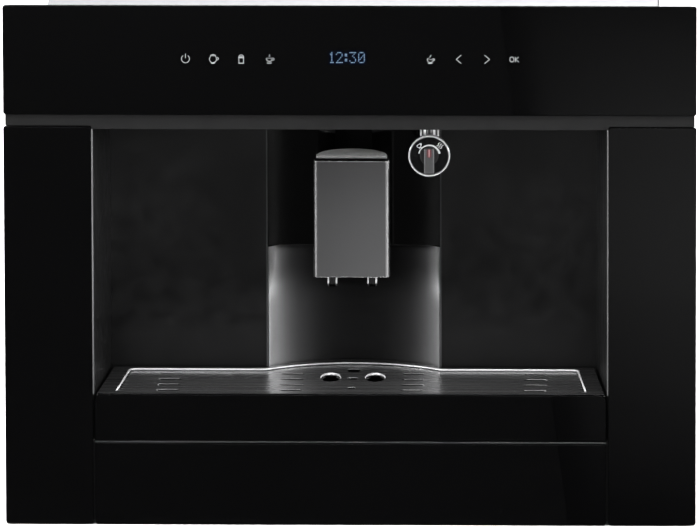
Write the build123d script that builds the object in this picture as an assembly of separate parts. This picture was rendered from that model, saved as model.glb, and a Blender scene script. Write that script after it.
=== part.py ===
from build123d import *

import math
import os

# A compact built-in coffee machine on telescopic slides. Millimetres: X runs across the front, Y runs back
# from the front glass, Z runs up from the niche floor. The export moves Y so that the origin is the centre
# of the footprint.

# Front
FRONT_WIDTH = 595.0
FRONT_TOP = 455.0
OVERALL_DEPTH = 400.0
FRONT_FOOT = 1.0
GLASS = 4.0
GLASS_CORNER = 2.5
GLASS_BEVEL = 0.5
CONTROL_HEIGHT = 95.0
STRIP_HEIGHT = 10.4
STRIP_RECESS = 3.0
STRIP_SIDE_INSET = 1.6
STRIP_GAP = 0.4
BAY_WIDTH = 443.8
BAY_TOP_MARGIN = 2.6
LOWER_GLASS_TOP = 72.0
TRAY_GLASS_BOTTOM = 74.4
SIDE_SEAM = 1.7
CARRIER_PLATE = 3.0
CARRIER_RIM_DEPTH = 15.0
CARRIER_RIM = 2.5
CARRIER_INSET = 2.5
DISPLAY_WIDTH = 50.0
DISPLAY_HEIGHT = 22.0
DISPLAY_HEIGHT_ABOVE_STRIP = 48.0
DISPLAY_DEPTH = 4.0
TOUCH_BOARD_WIDTH = 320.0
TOUCH_BOARD_HEIGHT = 34.0
BOARD = 1.6
BOARD_BOSS = 2.0
BOARD_BOSS_RADIUS = 3.0

# Bay
TRIM = 1.0
TRIM_DEPTH = 7.0
BAY_DEPTH = 122.0
BAY_BACK_WIDTH = 422.0
LINER = 2.0
WALL_FLANGE = 11.0
WALL_RIB = 4.0
INSERT_WIDTH = 150.0
INSERT_RECESS = 3.0
INSERT_TRIM_DEPTH = 7.0
COVER_BOTTOM = 222.0
COVER = 3.0
COVER_SHELF_DEPTH = 22.0
COVER_SHELF_WIDTH = 120.0
COVER_RETURN = 12.0
SPLASH_SHEET = 1.2
SPLASH_EDGE_INSET = 1.0
SPLASH_SAGITTA = 30.0
SPLASH_TOP_GAP = 2.0

# Dispenser
DISPENSER_WIDTH = 66.0
DISPENSER_FRONT = 52.0
DISPENSER_SIDE = 8.0
DISPENSER_EDGE_RADIUS = 4.0
DISPENSER_BOTTOM = 208.0
DISPENSER_HEIGHT = 102.0
DISPENSER_SKIN = 1.5
DISPENSER_BAND = 2.3
DISPENSER_CAP = 1.8
DISPENSER_CAP_INSET = 2.5
DISPENSER_CAP_ROUND = 1.0
DISPENSER_DOWN = 36.0
DISPENSER_UP = 28.0
SPOUT_SPACING = 34.4
SPOUT_RADIUS = 4.4
SPOUT_BORE = 2.2
SPOUT_LENGTH = 12.0
SPOUT_TIP_ROUND = 2.0
SPOUT_SET_BACK = 19.0
LAMP_RADIUS = 3.0
LAMP_DROP = 1.0
ARM_WIDTH = 28.0
ARM_HEIGHT = 40.0
ARM_BOTTOM = 262.0
CARRIAGE_WIDTH = 66.0
CARRIAGE_DEPTH = 20.0
CARRIAGE_GAP = 2.0
SLOT_GAP = 2.0
ROD_RADIUS = 4.0
ROD_SPACING = 48.0
ROD_FIT = 0.06

# Steam and hot water outlet
OUTLET_X = 67.0
OUTLET_Z = 314.2
DIAL_RADIUS = 18.0
DIAL_FRONT = 56.0
DIAL_THICK = 3.0
RING_WIDTH = 1.8
RING_PROUD = 1.2
RING_LENGTH = 6.0
VALVE_RADIUS = 13.5
VALVE_LENGTH = 24.0
COLLAR_RADIUS = 8.3
COLLAR_GROOVE = 1.2
COLLAR_GROOVE_HEIGHT = 3.0
NOZZLE_RADIUS = 4.5
NOZZLE_BORE = 2.0
NOZZLE_TIP = 293.5
SELECTOR_HUB_RADIUS = 8.0
SELECTOR_HUB_HEIGHT = 2.0
SELECTOR_LEVER_WIDTH = 8.6
SELECTOR_LEVER_HEIGHT = 6.0
SELECTOR_LEVER_RIM_GAP = 0.6
SELECTOR_LEVER_END_INSET = 1.0
SELECTOR_LEVER_CORNER = 1.0
SELECTOR_LEVER_EDGE_ROUND = 0.8
SELECTOR_SHAFT_RADIUS = 3.0
SELECTOR_SHAFT_LENGTH = 9.0
SHAFT_FIT = 0.05

# Drip drawer
GRID_TOP = 115.0
GRID_SHEET = 1.2
GRID_FRONT = 5.0
GRID_BACK = 118.0
GRID_BULGE_DEPTH = 152.0
GRID_SIDE_GAP = 2.0
GRID_OVERHANG = 1.0
GRID_SKIRT = 7.0
GRID_SKIRT_GAP = 0.4
GRID_PRESS = 2.0
PRESS_SLOPE = 4.0
PRESS_SIDE_INSET = 14.0
PRESS_FRONT = 10.0
PRESS_BACK = 112.5
PRESS_BULGE_DEPTH = 141.0
PRESS_FRONT_ROUND = 14.0
PRESS_BACK_ROUND = 6.0
SLOT_LENGTH = 20.5
SLOT_WIDTH = 4.4
SLOT_ROW_FIRST = 29.0
SLOT_ROW_PITCH = 23.0
SLOT_ROWS = 4
SLOT_OUTER_X = 158.5
SLOT_INNER_X = 52.8
CATCH_SPACING = 38.6
CATCH_Y = 82.5
CATCH_WIDTH = 18.0
CATCH_LENGTH = 33.0
CATCH_DROP = 2.4
DRAIN_DROP = 1.6
DRAIN_HOLES = ((113.0, 12.6), (79.0, 9.6), (39.0, 7.4))
HOLE_TAPER = 0.7
TRAY_FRONT = 4.0
TRAY_WALL = 2.2
TRAY_FLOAT_GAP = 0.6
TRAY_GLASS_CORNER = 6.0
DRAWER_NECK_WIDTH = 208.0
DRAWER_BACK = 335.0
NECK_TOP = 111.0
NECK_CLEARANCE = 1.5
GUIDE_RIB_SPACING = 140.0
GUIDE_RIB_WIDTH = 6.0
GUIDE_RIB_HEIGHT = 3.5
GUIDE_FIT = 0.5
SHELF = 2.5
SHELF_REAR_LEG = 2.5
GROUNDS_FRONT = 172.0
GROUNDS_WALL = 1.8
GROUNDS_GAP = 1.0
GROUNDS_ROUND = 10.0

# Chassis
BODY_WIDTH = 526.6
BODY_TOP_DROP = 15.0
BODY_BOTTOM = 6.0
BODY_BACK = 386.2
SHEET = 1.2
PAN_FLANGE = 25.0
PANEL_FLANGE = 12.0
BULKHEAD_FRONT = 160.0
BULKHEAD_FOOT_WIDTH = 230.0
VENT_LENGTH = 60.0
VENT_WIDTH = 4.0
VENT_PITCH = 10.0
VENT_COUNT = 8
FILLER_LIP = 1.6
FILLER_LIP_WIDTH = 5.0
FILLER_CORNER = 2.0
LID = 3.0
LID_GAP = 0.4
LID_HINGE_RADIUS = 2.2
LID_HINGE_INSET = 10.0
LID_PIN_RADIUS = 1.0
LID_PIN_LENGTH = 3.0
LID_PIN_FIT = 0.1
KNUCKLE_LENGTH = 6.0
SCREW_RADIUS = 1.75
SCREW_LENGTH = 6.0
SCREW_HEAD_RADIUS = 3.6
SCREW_HEAD = 2.2
SCREW_HEAD_ROUND = 1.4
SCREW_CROSS_WIDTH = 1.0
SCREW_CROSS_LENGTH = 4.0
SCREW_CROSS_DEPTH = 1.2
SCREW_FIT = 0.05
SCREW_HEIGHTS = (60.0, 175.0, 290.0, 405.0)
SCREW_DEPTHS = (60.0, 200.0, 340.0)
PAN_SCREW_X = 130.0
BEAD = 1.6
BEAD_WIDTH = 14.0
BEAD_SLOPE = 45.0
SIDE_BEAD_LENGTH = 150.0
SIDE_BEAD_Y = 268.0
SIDE_BEAD_Z = (130.0, 250.0, 370.0)
REAR_BEAD_LENGTH = 240.0
REAR_BEAD_X = 200.0
REAR_BEAD_Z = 270.0

# Inside
HOPPER_X = (-240.0, -95.0)
HOPPER_Y = (190.0, 330.0)
HOPPER_WALL = 2.0
HOPPER_STRAIGHT_BOTTOM = 385.0
HOPPER_THROAT_TOP = 336.0
HOPPER_THROAT_RADIUS = 22.0
GRINDER_RADIUS = 42.0
GRINDER_HEIGHT = 106.0
GRINDER_MOTOR_RADIUS = 30.0
GRINDER_MOTOR_HEIGHT = 72.0
GRINDER_SPOUT_WIDTH = 24.0
GRINDER_SPOUT_HEIGHT = 26.0
SHELF_LIP = 14.0
ADJUSTER_X = -60.0
ADJUSTER_Y = 290.0
ADJUSTER_RADIUS = 13.0
ADJUSTER_HEIGHT = 10.0
ADJUSTER_STEM_RADIUS = 4.0
ADJUSTER_STEM_LENGTH = 16.0
ADJUSTER_FLUTES = 12
ADJUSTER_FLUTE_RADIUS = 1.2
CHUTE_X = (-24.0, 24.0)
CHUTE_Y = (196.0, 244.0)
CHUTE_WALL = 1.6
BREW_X = (-48.0, 48.0)
BREW_BACK = 282.0
BREW_BOTTOM = 165.0
BREW_TOP = 322.0
BREW_CYLINDER_RADIUS = 30.0
BREW_NECK = 14.0
TANK_X = (150.0, 246.0)
TANK_Y = (195.0, 345.0)
TANK_BOTTOM = 205.0
TANK_WALL = 2.4
TANK_ROUND = 14.0
TANK_SEAT_RADIUS = 9.0
TANK_SEAT_GAP = 0.5
TANK_LIFT = 0.22
BOILER_X = (142.0, 236.0)
BOILER_Y = (200.0, 300.0)
BOILER_HEIGHT = 70.0
BOILER_RIBS = 6
BOILER_RIB_DEPTH = 6.0
PUMP_X = -190.0
PUMP_Y = (200.0, 300.0)
PUMP_RADIUS = 24.0
PUMP_AXIS_HEIGHT = 42.0
PUMP_CRADLE_WIDTH = 56.0
PIPE_RADIUS = 3.0
PIPE_BEND = 14.0
PIPE_X = 126.0
PIPE_CROSSING_HEIGHT = 372.0
BOARD_Y = (44.0, 150.0)
BOARD_Z = (130.0, 330.0)
BOARD_STANDOFF = 5.0
HEAT_SINK = (14.0, 72.0, 60.0, 22.0, 18.0)
HEAT_SINK_FINS = 7
BOARD_BLOCKS = (
    (14.0, 16.0, 40.0, 34.0, 20.0),
    (66.0, 20.0, 22.0, 16.0, 15.0),
    (66.0, 44.0, 22.0, 16.0, 15.0),
    HEAT_SINK,
    (12.0, 178.0, 80.0, 8.0, 10.0),
    (20.0, 112.0, 24.0, 24.0, 3.0),
)
BOARD_CANS = ((84.0, 84.0, 7.0, 16.0), (66.0, 124.0, 5.0, 12.0), (82.0, 124.0, 5.0, 12.0))
INLET_X = 190.0
INLET_Z = 60.0
INLET_WIDTH = 48.0
INLET_HEIGHT = 30.0
INLET_FLANGE = 2.4
INLET_BODY_DEPTH = 22.0
INLET_SOCKET_WIDTH = 24.0
INLET_SOCKET_HEIGHT = 16.5
INLET_SOCKET_DEPTH = 16.0
PIN_WIDTH = 4.0
PIN_THICK = 2.0
PIN_RECESS = 4.5
PIN_SPACING = 7.0
SWITCH_X = 206.0
SWITCH_Y = 40.0
SWITCH_WIDTH = 24.0
SWITCH_LENGTH = 30.0
SWITCH_BODY_HEIGHT = 20.0
SWITCH_LIP = 2.0
SWITCH_WALL = 2.5
ROCKER_GAP = 0.5
ROCKER_TILT = 9.0
ROCKER_THICK = 6.0

# Slides and mounting frame
NICHE_WIDTH = 560.0
FRAME_SHEET = 1.5
FRAME_HEIGHT = 80.0
FRAME_FOOT_WIDTH = 22.0
FRAME_FOOT = 2.0
FRAME_FRONT = 24.0
FRAME_TIE_DEPTH = 18.0
FRAME_STOP_HEIGHT = 30.0
FRAME_HOLE_RADIUS = 2.6
FRAME_HOLE_Y = (60.0, 340.0)
FRAME_HOLE_Z = 12.0
RAIL_SHEET = 1.2
RAIL_CENTRE = 50.0
RAIL_OUTER_HEIGHT = 45.0
RAIL_MIDDLE_HEIGHT = 39.0
RAIL_INNER_HEIGHT = 33.0
RAIL_OUTER_WIDTH = 11.0
RAIL_MIDDLE_START = 3.0
RAIL_MIDDLE_WIDTH = 8.6
RAIL_INNER_WIDTH = 8.6
RAIL_FRONT = 30.0
RAIL_LENGTH = 350.0
RAIL_BEND = 1.0
GLIDE_LENGTH = 60.0
GLIDE_WIDTH = 6.0
GLIDE_SET_IN = 0.4
GLIDE_FIT = 0.05
RAIL_TRAVEL = 300.0

# Worked out from the sizes above
BAY_HALF = BAY_WIDTH / 2
BAY_BACK_HALF = BAY_BACK_WIDTH / 2
BAY_MOUTH_HALF = BAY_HALF - TRIM
CONTROL_BOTTOM = FRONT_TOP - CONTROL_HEIGHT
COLUMN_TOP = CONTROL_BOTTOM - STRIP_HEIGHT
CARRIER_BACK = GLASS + CARRIER_PLATE
CHASSIS_FRONT = GLASS + CARRIER_RIM_DEPTH
BAY_TOP = COLUMN_TOP - BAY_TOP_MARGIN
BODY_TOP = FRONT_TOP - BODY_TOP_DROP
BAY_PANEL_BACK = BAY_DEPTH + LINER
INSERT_HALF = INSERT_WIDTH / 2
INSERT_FRONT = BAY_DEPTH + INSERT_RECESS
COVER_BACK = INSERT_FRONT + COVER
CEILING_TOP = BAY_TOP + LINER
BACK_BOTTOM = NECK_TOP + NECK_CLEARANCE
SHELF_TOP = TRAY_GLASS_BOTTOM
SHELF_BOTTOM = SHELF_TOP - SHELF
BODY_HALF = BODY_WIDTH / 2
BODY_INNER = BODY_HALF - SHEET
PAN_TOP = BODY_BOTTOM + SHEET
TOP_UNDERSIDE = BODY_TOP - SHEET
BULKHEAD_BACK = BULKHEAD_FRONT + SHEET
FRAME_HALF = NICHE_WIDTH / 2
DISPLAY_Z = CONTROL_BOTTOM + DISPLAY_HEIGHT_ABOVE_STRIP


def block(x, y, z):
    """A block between two corners, each axis as a (low, high) pair."""
    pairs = (x, y, z)
    sizes = [high - low for low, high in pairs]
    return Pos(*[(low + high) / 2 for low, high in pairs]) * Box(*sizes)


def rect(across_pair, up_pair, radius=0.0):
    """A rectangle between two corners of a sketch, with rounded corners where a radius is given."""
    width, height = across_pair[1] - across_pair[0], up_pair[1] - up_pair[0]
    middle = Pos(sum(across_pair) / 2, sum(up_pair) / 2)
    return middle * (RectangleRounded(width, height, radius) if radius else Rectangle(width, height))


def outline(*points):
    """A closed straight-sided outline."""
    return make_face(Polyline(*points, close=True))


def raised(plan, z):
    """A plan outline, drawn in X and Y, raised between two heights."""
    return extrude(Plane.XY.offset(z[0]) * plan, z[1] - z[0])


def carried_back(front_view, y):
    """A front-view outline, drawn in X and Z, carried back between two depths."""
    return extrude(Plane.XZ.offset(-y[1]) * front_view, y[1] - y[0])


def carried_across(side_view, x):
    """A side-view outline, drawn in Y and Z, carried across between two places."""
    return extrude(Plane.YZ.offset(x[0]) * side_view, x[1] - x[0])


def centred(half):
    """The pair that spans equally to both sides of the middle."""
    return (-half, half)


def rod(start, direction, radius, length):
    """A round bar from a start point along a direction."""
    return extrude(Plane(origin=start, z_dir=direction) * Circle(radius), length)


def opposite(shape):
    """The same piece on the other side of the machine."""
    return mirror(shape, Plane.YZ)


def both_sides(shape):
    """A piece and its opposite as one group."""
    return Compound(children=[shape, opposite(shape)])


# ---------------------------------------------------------------- front


def bevelled_glass(front_view):
    """A glass panel with a fine bevel round its front face."""
    panel = carried_back(front_view, (0, GLASS))
    return chamfer(panel.faces().sort_by(Axis.Y)[0].edges(), GLASS_BEVEL)


def control_glass():
    return bevelled_glass(rect(centred(FRONT_WIDTH / 2), (CONTROL_BOTTOM, FRONT_TOP), GLASS_CORNER))


def column_glass():
    return bevelled_glass(rect((BAY_HALF, FRONT_WIDTH / 2), (FRONT_FOOT, COLUMN_TOP), GLASS_CORNER))


def lower_glass():
    return bevelled_glass(rect(centred(BAY_HALF - SIDE_SEAM), (FRONT_FOOT, LOWER_GLASS_TOP), GLASS_CORNER))


def tray_front_glass():
    view = rect(centred(BAY_HALF - SIDE_SEAM), (TRAY_GLASS_BOTTOM, GRID_TOP))
    top_corners = view.vertices().group_by(Axis.Y)[-1]
    return bevelled_glass(fillet(top_corners, TRAY_GLASS_CORNER))


def front_carrier():
    """The moulded frame behind the glass: a plate, a rim, ribs and the recessed band above the bay."""
    half = FRONT_WIDTH / 2 - CARRIER_INSET
    bottom, top = FRONT_FOOT + CARRIER_INSET, FRONT_TOP - CARRIER_INSET
    body = carried_back(rect(centred(half), (bottom, top), GLASS_CORNER), (GLASS, CHASSIS_FRONT))
    hollow = rect(centred(half - CARRIER_RIM), (bottom + CARRIER_RIM, top - CARRIER_RIM))
    body -= carried_back(hollow, (CARRIER_BACK, CHASSIS_FRONT))
    rib_x = BAY_MOUTH_HALF + LINER + WALL_FLANGE + 2 * CARRIER_RIM
    for side in (-1, 1):
        for place in (rib_x, (rib_x + half) / 2):
            ends = sorted((side * place, side * (place - CARRIER_RIM)))
            body += block(ends, (CARRIER_BACK, CHASSIS_FRONT), (bottom, top))
    for height in (CEILING_TOP + CARRIER_RIM, SHELF_BOTTOM - 2 * CARRIER_RIM):
        body += block(centred(rib_x), (CARRIER_BACK, CHASSIS_FRONT), (height, height + CARRIER_RIM))
    opening = BAY_HALF + CARRIER_INSET
    body -= block(centred(opening), (GLASS, CARRIER_BACK), (SHELF_BOTTOM, BAY_TOP))
    body += block(
        centred(FRONT_WIDTH / 2 - STRIP_SIDE_INSET),
        (STRIP_RECESS, GLASS),
        (COLUMN_TOP + STRIP_GAP, CONTROL_BOTTOM - STRIP_GAP),
    )
    body += block(centred(BAY_HALF), (STRIP_RECESS, CARRIER_BACK), (BAY_TOP, COLUMN_TOP + STRIP_GAP))
    window = rect(centred(DISPLAY_WIDTH / 2), centred(DISPLAY_HEIGHT / 2))
    body -= carried_back(Pos(0, DISPLAY_Z) * window, (GLASS, CARRIER_BACK))
    for x in (-TOUCH_BOARD_WIDTH / 2, -DISPLAY_WIDTH, DISPLAY_WIDTH, TOUCH_BOARD_WIDTH / 2):
        boss_x = x - math.copysign(2 * BOARD_BOSS_RADIUS, x)
        body += rod((boss_x, CARRIER_BACK, DISPLAY_Z), (0, 1, 0), BOARD_BOSS_RADIUS, BOARD_BOSS)
    return body


def touch_board():
    view = rect(centred(TOUCH_BOARD_WIDTH / 2), centred(TOUCH_BOARD_HEIGHT / 2), GLASS_CORNER)
    front = CARRIER_BACK + BOARD_BOSS
    rear = front + BOARD
    board = carried_back(Pos(0, DISPLAY_Z) * view, (front, rear))
    connector = block(centred(DISPLAY_WIDTH / 2), (rear, rear + DISPLAY_DEPTH), centred(DISPLAY_HEIGHT / 4))
    return board + Pos(0, 0, DISPLAY_Z) * connector


def display_module():
    """The lit display between the glass and the touch board, inside the carrier's window."""
    half_width, half_height = DISPLAY_WIDTH / 2 - LID_GAP, DISPLAY_HEIGHT / 2 - LID_GAP
    body = block(centred(half_width), (GLASS, CARRIER_BACK + BOARD_BOSS), centred(half_height))
    return Pos(0, 0, DISPLAY_Z) * body


def bay_trims():
    """The four thin upright trims: two at the bay's mouth and two beside the centre insert."""
    mouth = block((BAY_MOUTH_HALF, BAY_HALF), (0, TRIM_DEPTH), (GRID_TOP, BAY_TOP))
    start = BAY_DEPTH - TRIM
    insert = block(
        (INSERT_HALF, INSERT_HALF + TRIM), (start, start + INSERT_TRIM_DEPTH), (BACK_BOTTOM, BAY_TOP)
    )
    return Compound(children=[mouth, opposite(mouth), insert, opposite(insert)])


def floor_trim():
    seam = (LOWER_GLASS_TOP + SHELF_TOP) / 2
    return block(centred(BAY_HALF - SIDE_SEAM), (0, GLASS), (seam - TRIM / 2, seam + TRIM / 2))


# ---------------------------------------------------------------- bay


def bay_half_at(depth):
    """Half the bay's width at a depth: the side walls close in toward the back."""
    share = (depth - CARRIER_BACK) / (BAY_DEPTH - CARRIER_BACK)
    return BAY_MOUTH_HALF + (BAY_BACK_HALF - BAY_MOUTH_HALF) * share


def bay_wall():
    """A flared side wall with its front flange and two outer stiffening ribs."""
    mouth, back_corner = BAY_MOUTH_HALF, BAY_BACK_HALF
    tip = mouth + LINER + WALL_FLANGE
    plan = outline(
        (mouth, CARRIER_BACK),
        (tip, CARRIER_BACK),
        (tip, CARRIER_BACK + LINER),
        (mouth + LINER, CARRIER_BACK + LINER),
        (back_corner + LINER, BAY_DEPTH),
        (back_corner, BAY_DEPTH),
    )
    wall = raised(plan, (SHELF_TOP, BAY_TOP))
    rib_plan = outline(
        (mouth + LINER / 2, CARRIER_BACK + LINER / 2),
        (mouth + LINER + WALL_RIB, CARRIER_BACK + LINER / 2),
        (back_corner + LINER + WALL_RIB, BAY_DEPTH),
        (back_corner + LINER / 2, BAY_DEPTH),
    )
    third = (BAY_TOP - SHELF_TOP) / 3
    for height in (SHELF_TOP + third, BAY_TOP - third):
        wall += raised(rib_plan, (height, height + LINER))
    return wall


def bay_back():
    """The flat back beside the centre insert, cut away where the drawer runs under it."""
    neck = DRAWER_NECK_WIDTH / 2 + 2 * GRID_SIDE_GAP
    view = outline(
        (INSERT_HALF + TRIM, BACK_BOTTOM),
        (neck, BACK_BOTTOM),
        (neck, SHELF_TOP),
        (BAY_BACK_HALF + LINER, SHELF_TOP),
        (BAY_BACK_HALF + LINER, BAY_TOP),
        (INSERT_HALF + TRIM, BAY_TOP),
    )
    return carried_back(view, (BAY_DEPTH, BAY_PANEL_BACK))


def bay_ceiling():
    half = BAY_MOUTH_HALF + LINER + WALL_FLANGE
    sheet = block(centred(half), (CARRIER_BACK, BULKHEAD_FRONT), (BAY_TOP, CEILING_TOP))
    return sheet - rod((OUTLET_X, valve_y(), BAY_TOP), (0, 0, 1), PIPE_RADIUS + LID_GAP, LINER)


def shelf_half():
    return BAY_MOUTH_HALF + LINER


def bay_floor():
    """The shelf that the drip drawer runs on: a stepped plate with two guide ribs and a rear leg."""
    neck = BULKHEAD_FOOT_WIDTH / 2 - LINER
    rear = DRAWER_BACK + 2 * SHELF
    plan = rect(centred(shelf_half()), (GLASS, BAY_PANEL_BACK)) + rect(centred(neck), (GLASS, rear))
    shelf = raised(plan, (SHELF_BOTTOM, SHELF_TOP))
    shelf += block(centred(neck), (rear - SHELF_REAR_LEG, rear), (PAN_TOP, SHELF_BOTTOM))
    for side in (-1, 1):
        rib = centred(GUIDE_RIB_WIDTH / 2)
        run = (TRAY_FRONT + TRAY_WALL + LINER, rear)
        guide = block(rib, run, (SHELF_TOP, SHELF_TOP + GUIDE_RIB_HEIGHT))
        shelf += Pos(side * GUIDE_RIB_SPACING / 2, 0, 0) * guide
        edge = sorted((side * neck, side * (neck - SHELF)))
        shelf += block(edge, (BAY_PANEL_BACK, rear), (SHELF_BOTTOM - PANEL_FLANGE, SHELF_BOTTOM))
    return shelf


def upper_cover():
    """The gloss cover of the centre insert, with side returns, a bottom shelf and the arm's slot."""
    cover = block(centred(INSERT_HALF), (INSERT_FRONT, COVER_BACK), (COVER_BOTTOM, BAY_TOP))
    shelf_back = COVER_BACK + COVER_SHELF_DEPTH
    cover += block(
        centred(COVER_SHELF_WIDTH / 2), (INSERT_FRONT, shelf_back), (COVER_BOTTOM, COVER_BOTTOM + LINER)
    )
    for side in (-1, 1):
        edge = sorted((side * INSERT_HALF, side * (INSERT_HALF - LINER)))
        cover += block(edge, (COVER_BACK, COVER_BACK + COVER_RETURN), (COVER_BOTTOM, BAY_TOP))
    slot = rect(
        centred(ARM_WIDTH / 2 + SLOT_GAP),
        (ARM_BOTTOM - DISPENSER_DOWN - SLOT_GAP, ARM_BOTTOM + ARM_HEIGHT + DISPENSER_UP + SLOT_GAP),
        DISPENSER_EDGE_RADIUS,
    )
    return cover - carried_back(slot, (INSERT_FRONT, COVER_BACK))


def arc_radius(half_chord, sagitta):
    return (half_chord**2 + sagitta**2) / (2 * sagitta)


def splash_panel():
    """The concave steel panel under the cover."""
    half = INSERT_HALF - SPLASH_EDGE_INSET
    radius = arc_radius(half, SPLASH_SAGITTA)
    centre_y = INSERT_FRONT + SPLASH_SAGITTA - radius
    ratio = (radius + SPLASH_SHEET) / radius
    outer_x, outer_y = half * ratio, centre_y + (INSERT_FRONT - centre_y) * ratio
    inner = ThreePointArc((-half, INSERT_FRONT), (0, centre_y + radius), (half, INSERT_FRONT))
    outer = ThreePointArc((outer_x, outer_y), (0, centre_y + radius + SPLASH_SHEET), (-outer_x, outer_y))
    ends = [
        Line((half, INSERT_FRONT), (outer_x, outer_y)),
        Line((-outer_x, outer_y), (-half, INSERT_FRONT)),
    ]
    plan = make_face([inner, ends[0], outer, ends[1]])
    return raised(plan, (BACK_BOTTOM, COVER_BOTTOM - SPLASH_TOP_GAP))


def rod_y():
    return COVER_BACK + CARRIAGE_GAP + CARRIAGE_DEPTH / 2


def guide_rods():
    length = BAY_TOP - COVER_BOTTOM - LINER
    return both_sides(rod((ROD_SPACING / 2, rod_y(), COVER_BOTTOM + LINER), (0, 0, 1), ROD_RADIUS, length))


# ---------------------------------------------------------------- dispenser


def dispenser_plan(inset=0.0):
    """The D-shaped plan: a flat front with rounded edges, short sides and a round back."""
    half = DISPENSER_WIDTH / 2 - inset
    front, shoulder = DISPENSER_FRONT + inset, DISPENSER_FRONT + DISPENSER_SIDE
    round_back = Pos(0, shoulder) * Circle(half) & rect(centred(half), (shoulder, shoulder + half))
    base = rect(centred(half), (front, shoulder)) + round_back
    corners = base.vertices().group_by(Axis.Y)[0]
    return fillet(corners, DISPENSER_EDGE_RADIUS - inset)


def dispenser_front():
    """The metal face that wraps round the front edges as far as the shoulders."""
    wrap = dispenser_plan() - dispenser_plan(DISPENSER_SKIN)
    wrap &= rect(centred(DISPENSER_WIDTH), (DISPENSER_FRONT, DISPENSER_FRONT + DISPENSER_SIDE))
    return raised(wrap, (DISPENSER_BOTTOM, DISPENSER_BOTTOM + DISPENSER_HEIGHT))


def dispenser_top():
    return DISPENSER_BOTTOM + DISPENSER_HEIGHT + DISPENSER_BAND


def spout_y():
    return DISPENSER_FRONT + SPOUT_SET_BACK


def dispenser_core():
    """The moulded core behind the metal face, its top band flush with the face, hollow from below."""
    bottom, band = DISPENSER_BOTTOM, DISPENSER_BOTTOM + DISPENSER_HEIGHT
    back_part = dispenser_plan() - rect(
        centred(DISPENSER_WIDTH), (DISPENSER_FRONT, DISPENSER_FRONT + DISPENSER_SIDE)
    )
    core = raised(dispenser_plan(DISPENSER_SKIN) + back_part, (bottom, band))
    core += raised(dispenser_plan(), (band, dispenser_top()))
    lamp = rod((0, spout_y(), bottom - LAMP_DROP), (0, 0, 1), LAMP_RADIUS, LAMP_DROP)
    return core + lamp


def dispenser_cap():
    plate = raised(dispenser_plan(DISPENSER_CAP_INSET), (dispenser_top(), dispenser_top() + DISPENSER_CAP))
    return fillet(plate.faces().sort_by(Axis.Z)[-1].edges(), DISPENSER_CAP_ROUND)


def coffee_spouts():
    """Two round-nosed metal spouts under the dispenser."""
    tip = DISPENSER_BOTTOM - SPOUT_LENGTH
    profile = rect((SPOUT_BORE, SPOUT_RADIUS), (tip, DISPENSER_BOTTOM))
    nose = profile.vertices().group_by(Axis.Y)[0].sort_by(Axis.X)[-1]
    spout = revolve(Plane.XZ * fillet(nose, SPOUT_TIP_ROUND), Axis.Z)
    return both_sides(Pos(SPOUT_SPACING / 2, spout_y(), 0) * spout)


def dispenser_carriage():
    """The arm through the cover's slot and the bored block that slides on the rods."""
    arm_front = DISPENSER_FRONT + DISPENSER_SIDE + DISPENSER_WIDTH / 2
    height = (ARM_BOTTOM, ARM_BOTTOM + ARM_HEIGHT)
    block_front = COVER_BACK + CARRIAGE_GAP
    arm = block(centred(ARM_WIDTH / 2), (arm_front - DISPENSER_EDGE_RADIUS, block_front), height)
    arm -= raised(Pos(0, DISPENSER_FRONT + DISPENSER_SIDE) * Circle(DISPENSER_WIDTH / 2), height)
    slider = block(centred(CARRIAGE_WIDTH / 2), (block_front, block_front + CARRIAGE_DEPTH), height)
    slider = chamfer(slider.edges().filter_by(Axis.Z), LINER)
    for side in (-1, 1):
        start = (side * ROD_SPACING / 2, rod_y(), ARM_BOTTOM)
        slider -= rod(start, (0, 0, 1), ROD_RADIUS + ROD_FIT, ARM_HEIGHT)
    return arm + slider


# ---------------------------------------------------------------- steam and hot water outlet


def dial_back():
    return DIAL_FRONT + DIAL_THICK


def valve_y():
    return dial_back() + VALVE_LENGTH / 2


def selector_dial():
    """The black face that the lever turns over."""
    start = (OUTLET_X, DIAL_FRONT, OUTLET_Z)
    face = rod(start, (0, 1, 0), DIAL_RADIUS - RING_WIDTH, DIAL_THICK)
    return face - rod(start, (0, 1, 0), SELECTOR_SHAFT_RADIUS + SHAFT_FIT, DIAL_THICK)


def selector_ring():
    """The bright ring round the dial."""
    start = (OUTLET_X, DIAL_FRONT - RING_PROUD, OUTLET_Z)
    ring = rod(start, (0, 1, 0), DIAL_RADIUS, RING_LENGTH)
    ring = fillet(ring.edges().group_by(Axis.Y)[0], RING_PROUD / 2)
    return ring - rod(start, (0, 1, 0), DIAL_RADIUS - RING_WIDTH, RING_LENGTH)


def valve_body():
    """The valve behind the dial, with its boss up to the collar and its outlet nozzle below."""
    body = rod((OUTLET_X, dial_back(), OUTLET_Z), (0, 1, 0), VALVE_RADIUS, VALVE_LENGTH)
    body = fillet(body.edges().group_by(Axis.Y)[-1], DISPENSER_EDGE_RADIUS)
    nozzle = rod((OUTLET_X, valve_y(), NOZZLE_TIP), (0, 0, 1), NOZZLE_RADIUS, OUTLET_Z - NOZZLE_TIP)
    boss_top = OUTLET_Z + VALVE_RADIUS + COLLAR_GROOVE
    boss = rod((OUTLET_X, valve_y(), OUTLET_Z), (0, 0, 1), COLLAR_RADIUS, boss_top - OUTLET_Z)
    body = body + boss + nozzle
    body -= rod((OUTLET_X, valve_y(), NOZZLE_TIP), (0, 0, 1), NOZZLE_BORE, OUTLET_Z - NOZZLE_TIP)
    bore = SELECTOR_SHAFT_RADIUS + SHAFT_FIT
    shaft_hole = SELECTOR_SHAFT_LENGTH - DIAL_THICK + SHAFT_FIT
    return body - rod((OUTLET_X, dial_back(), OUTLET_Z), (0, 1, 0), bore, shaft_hole)


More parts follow.
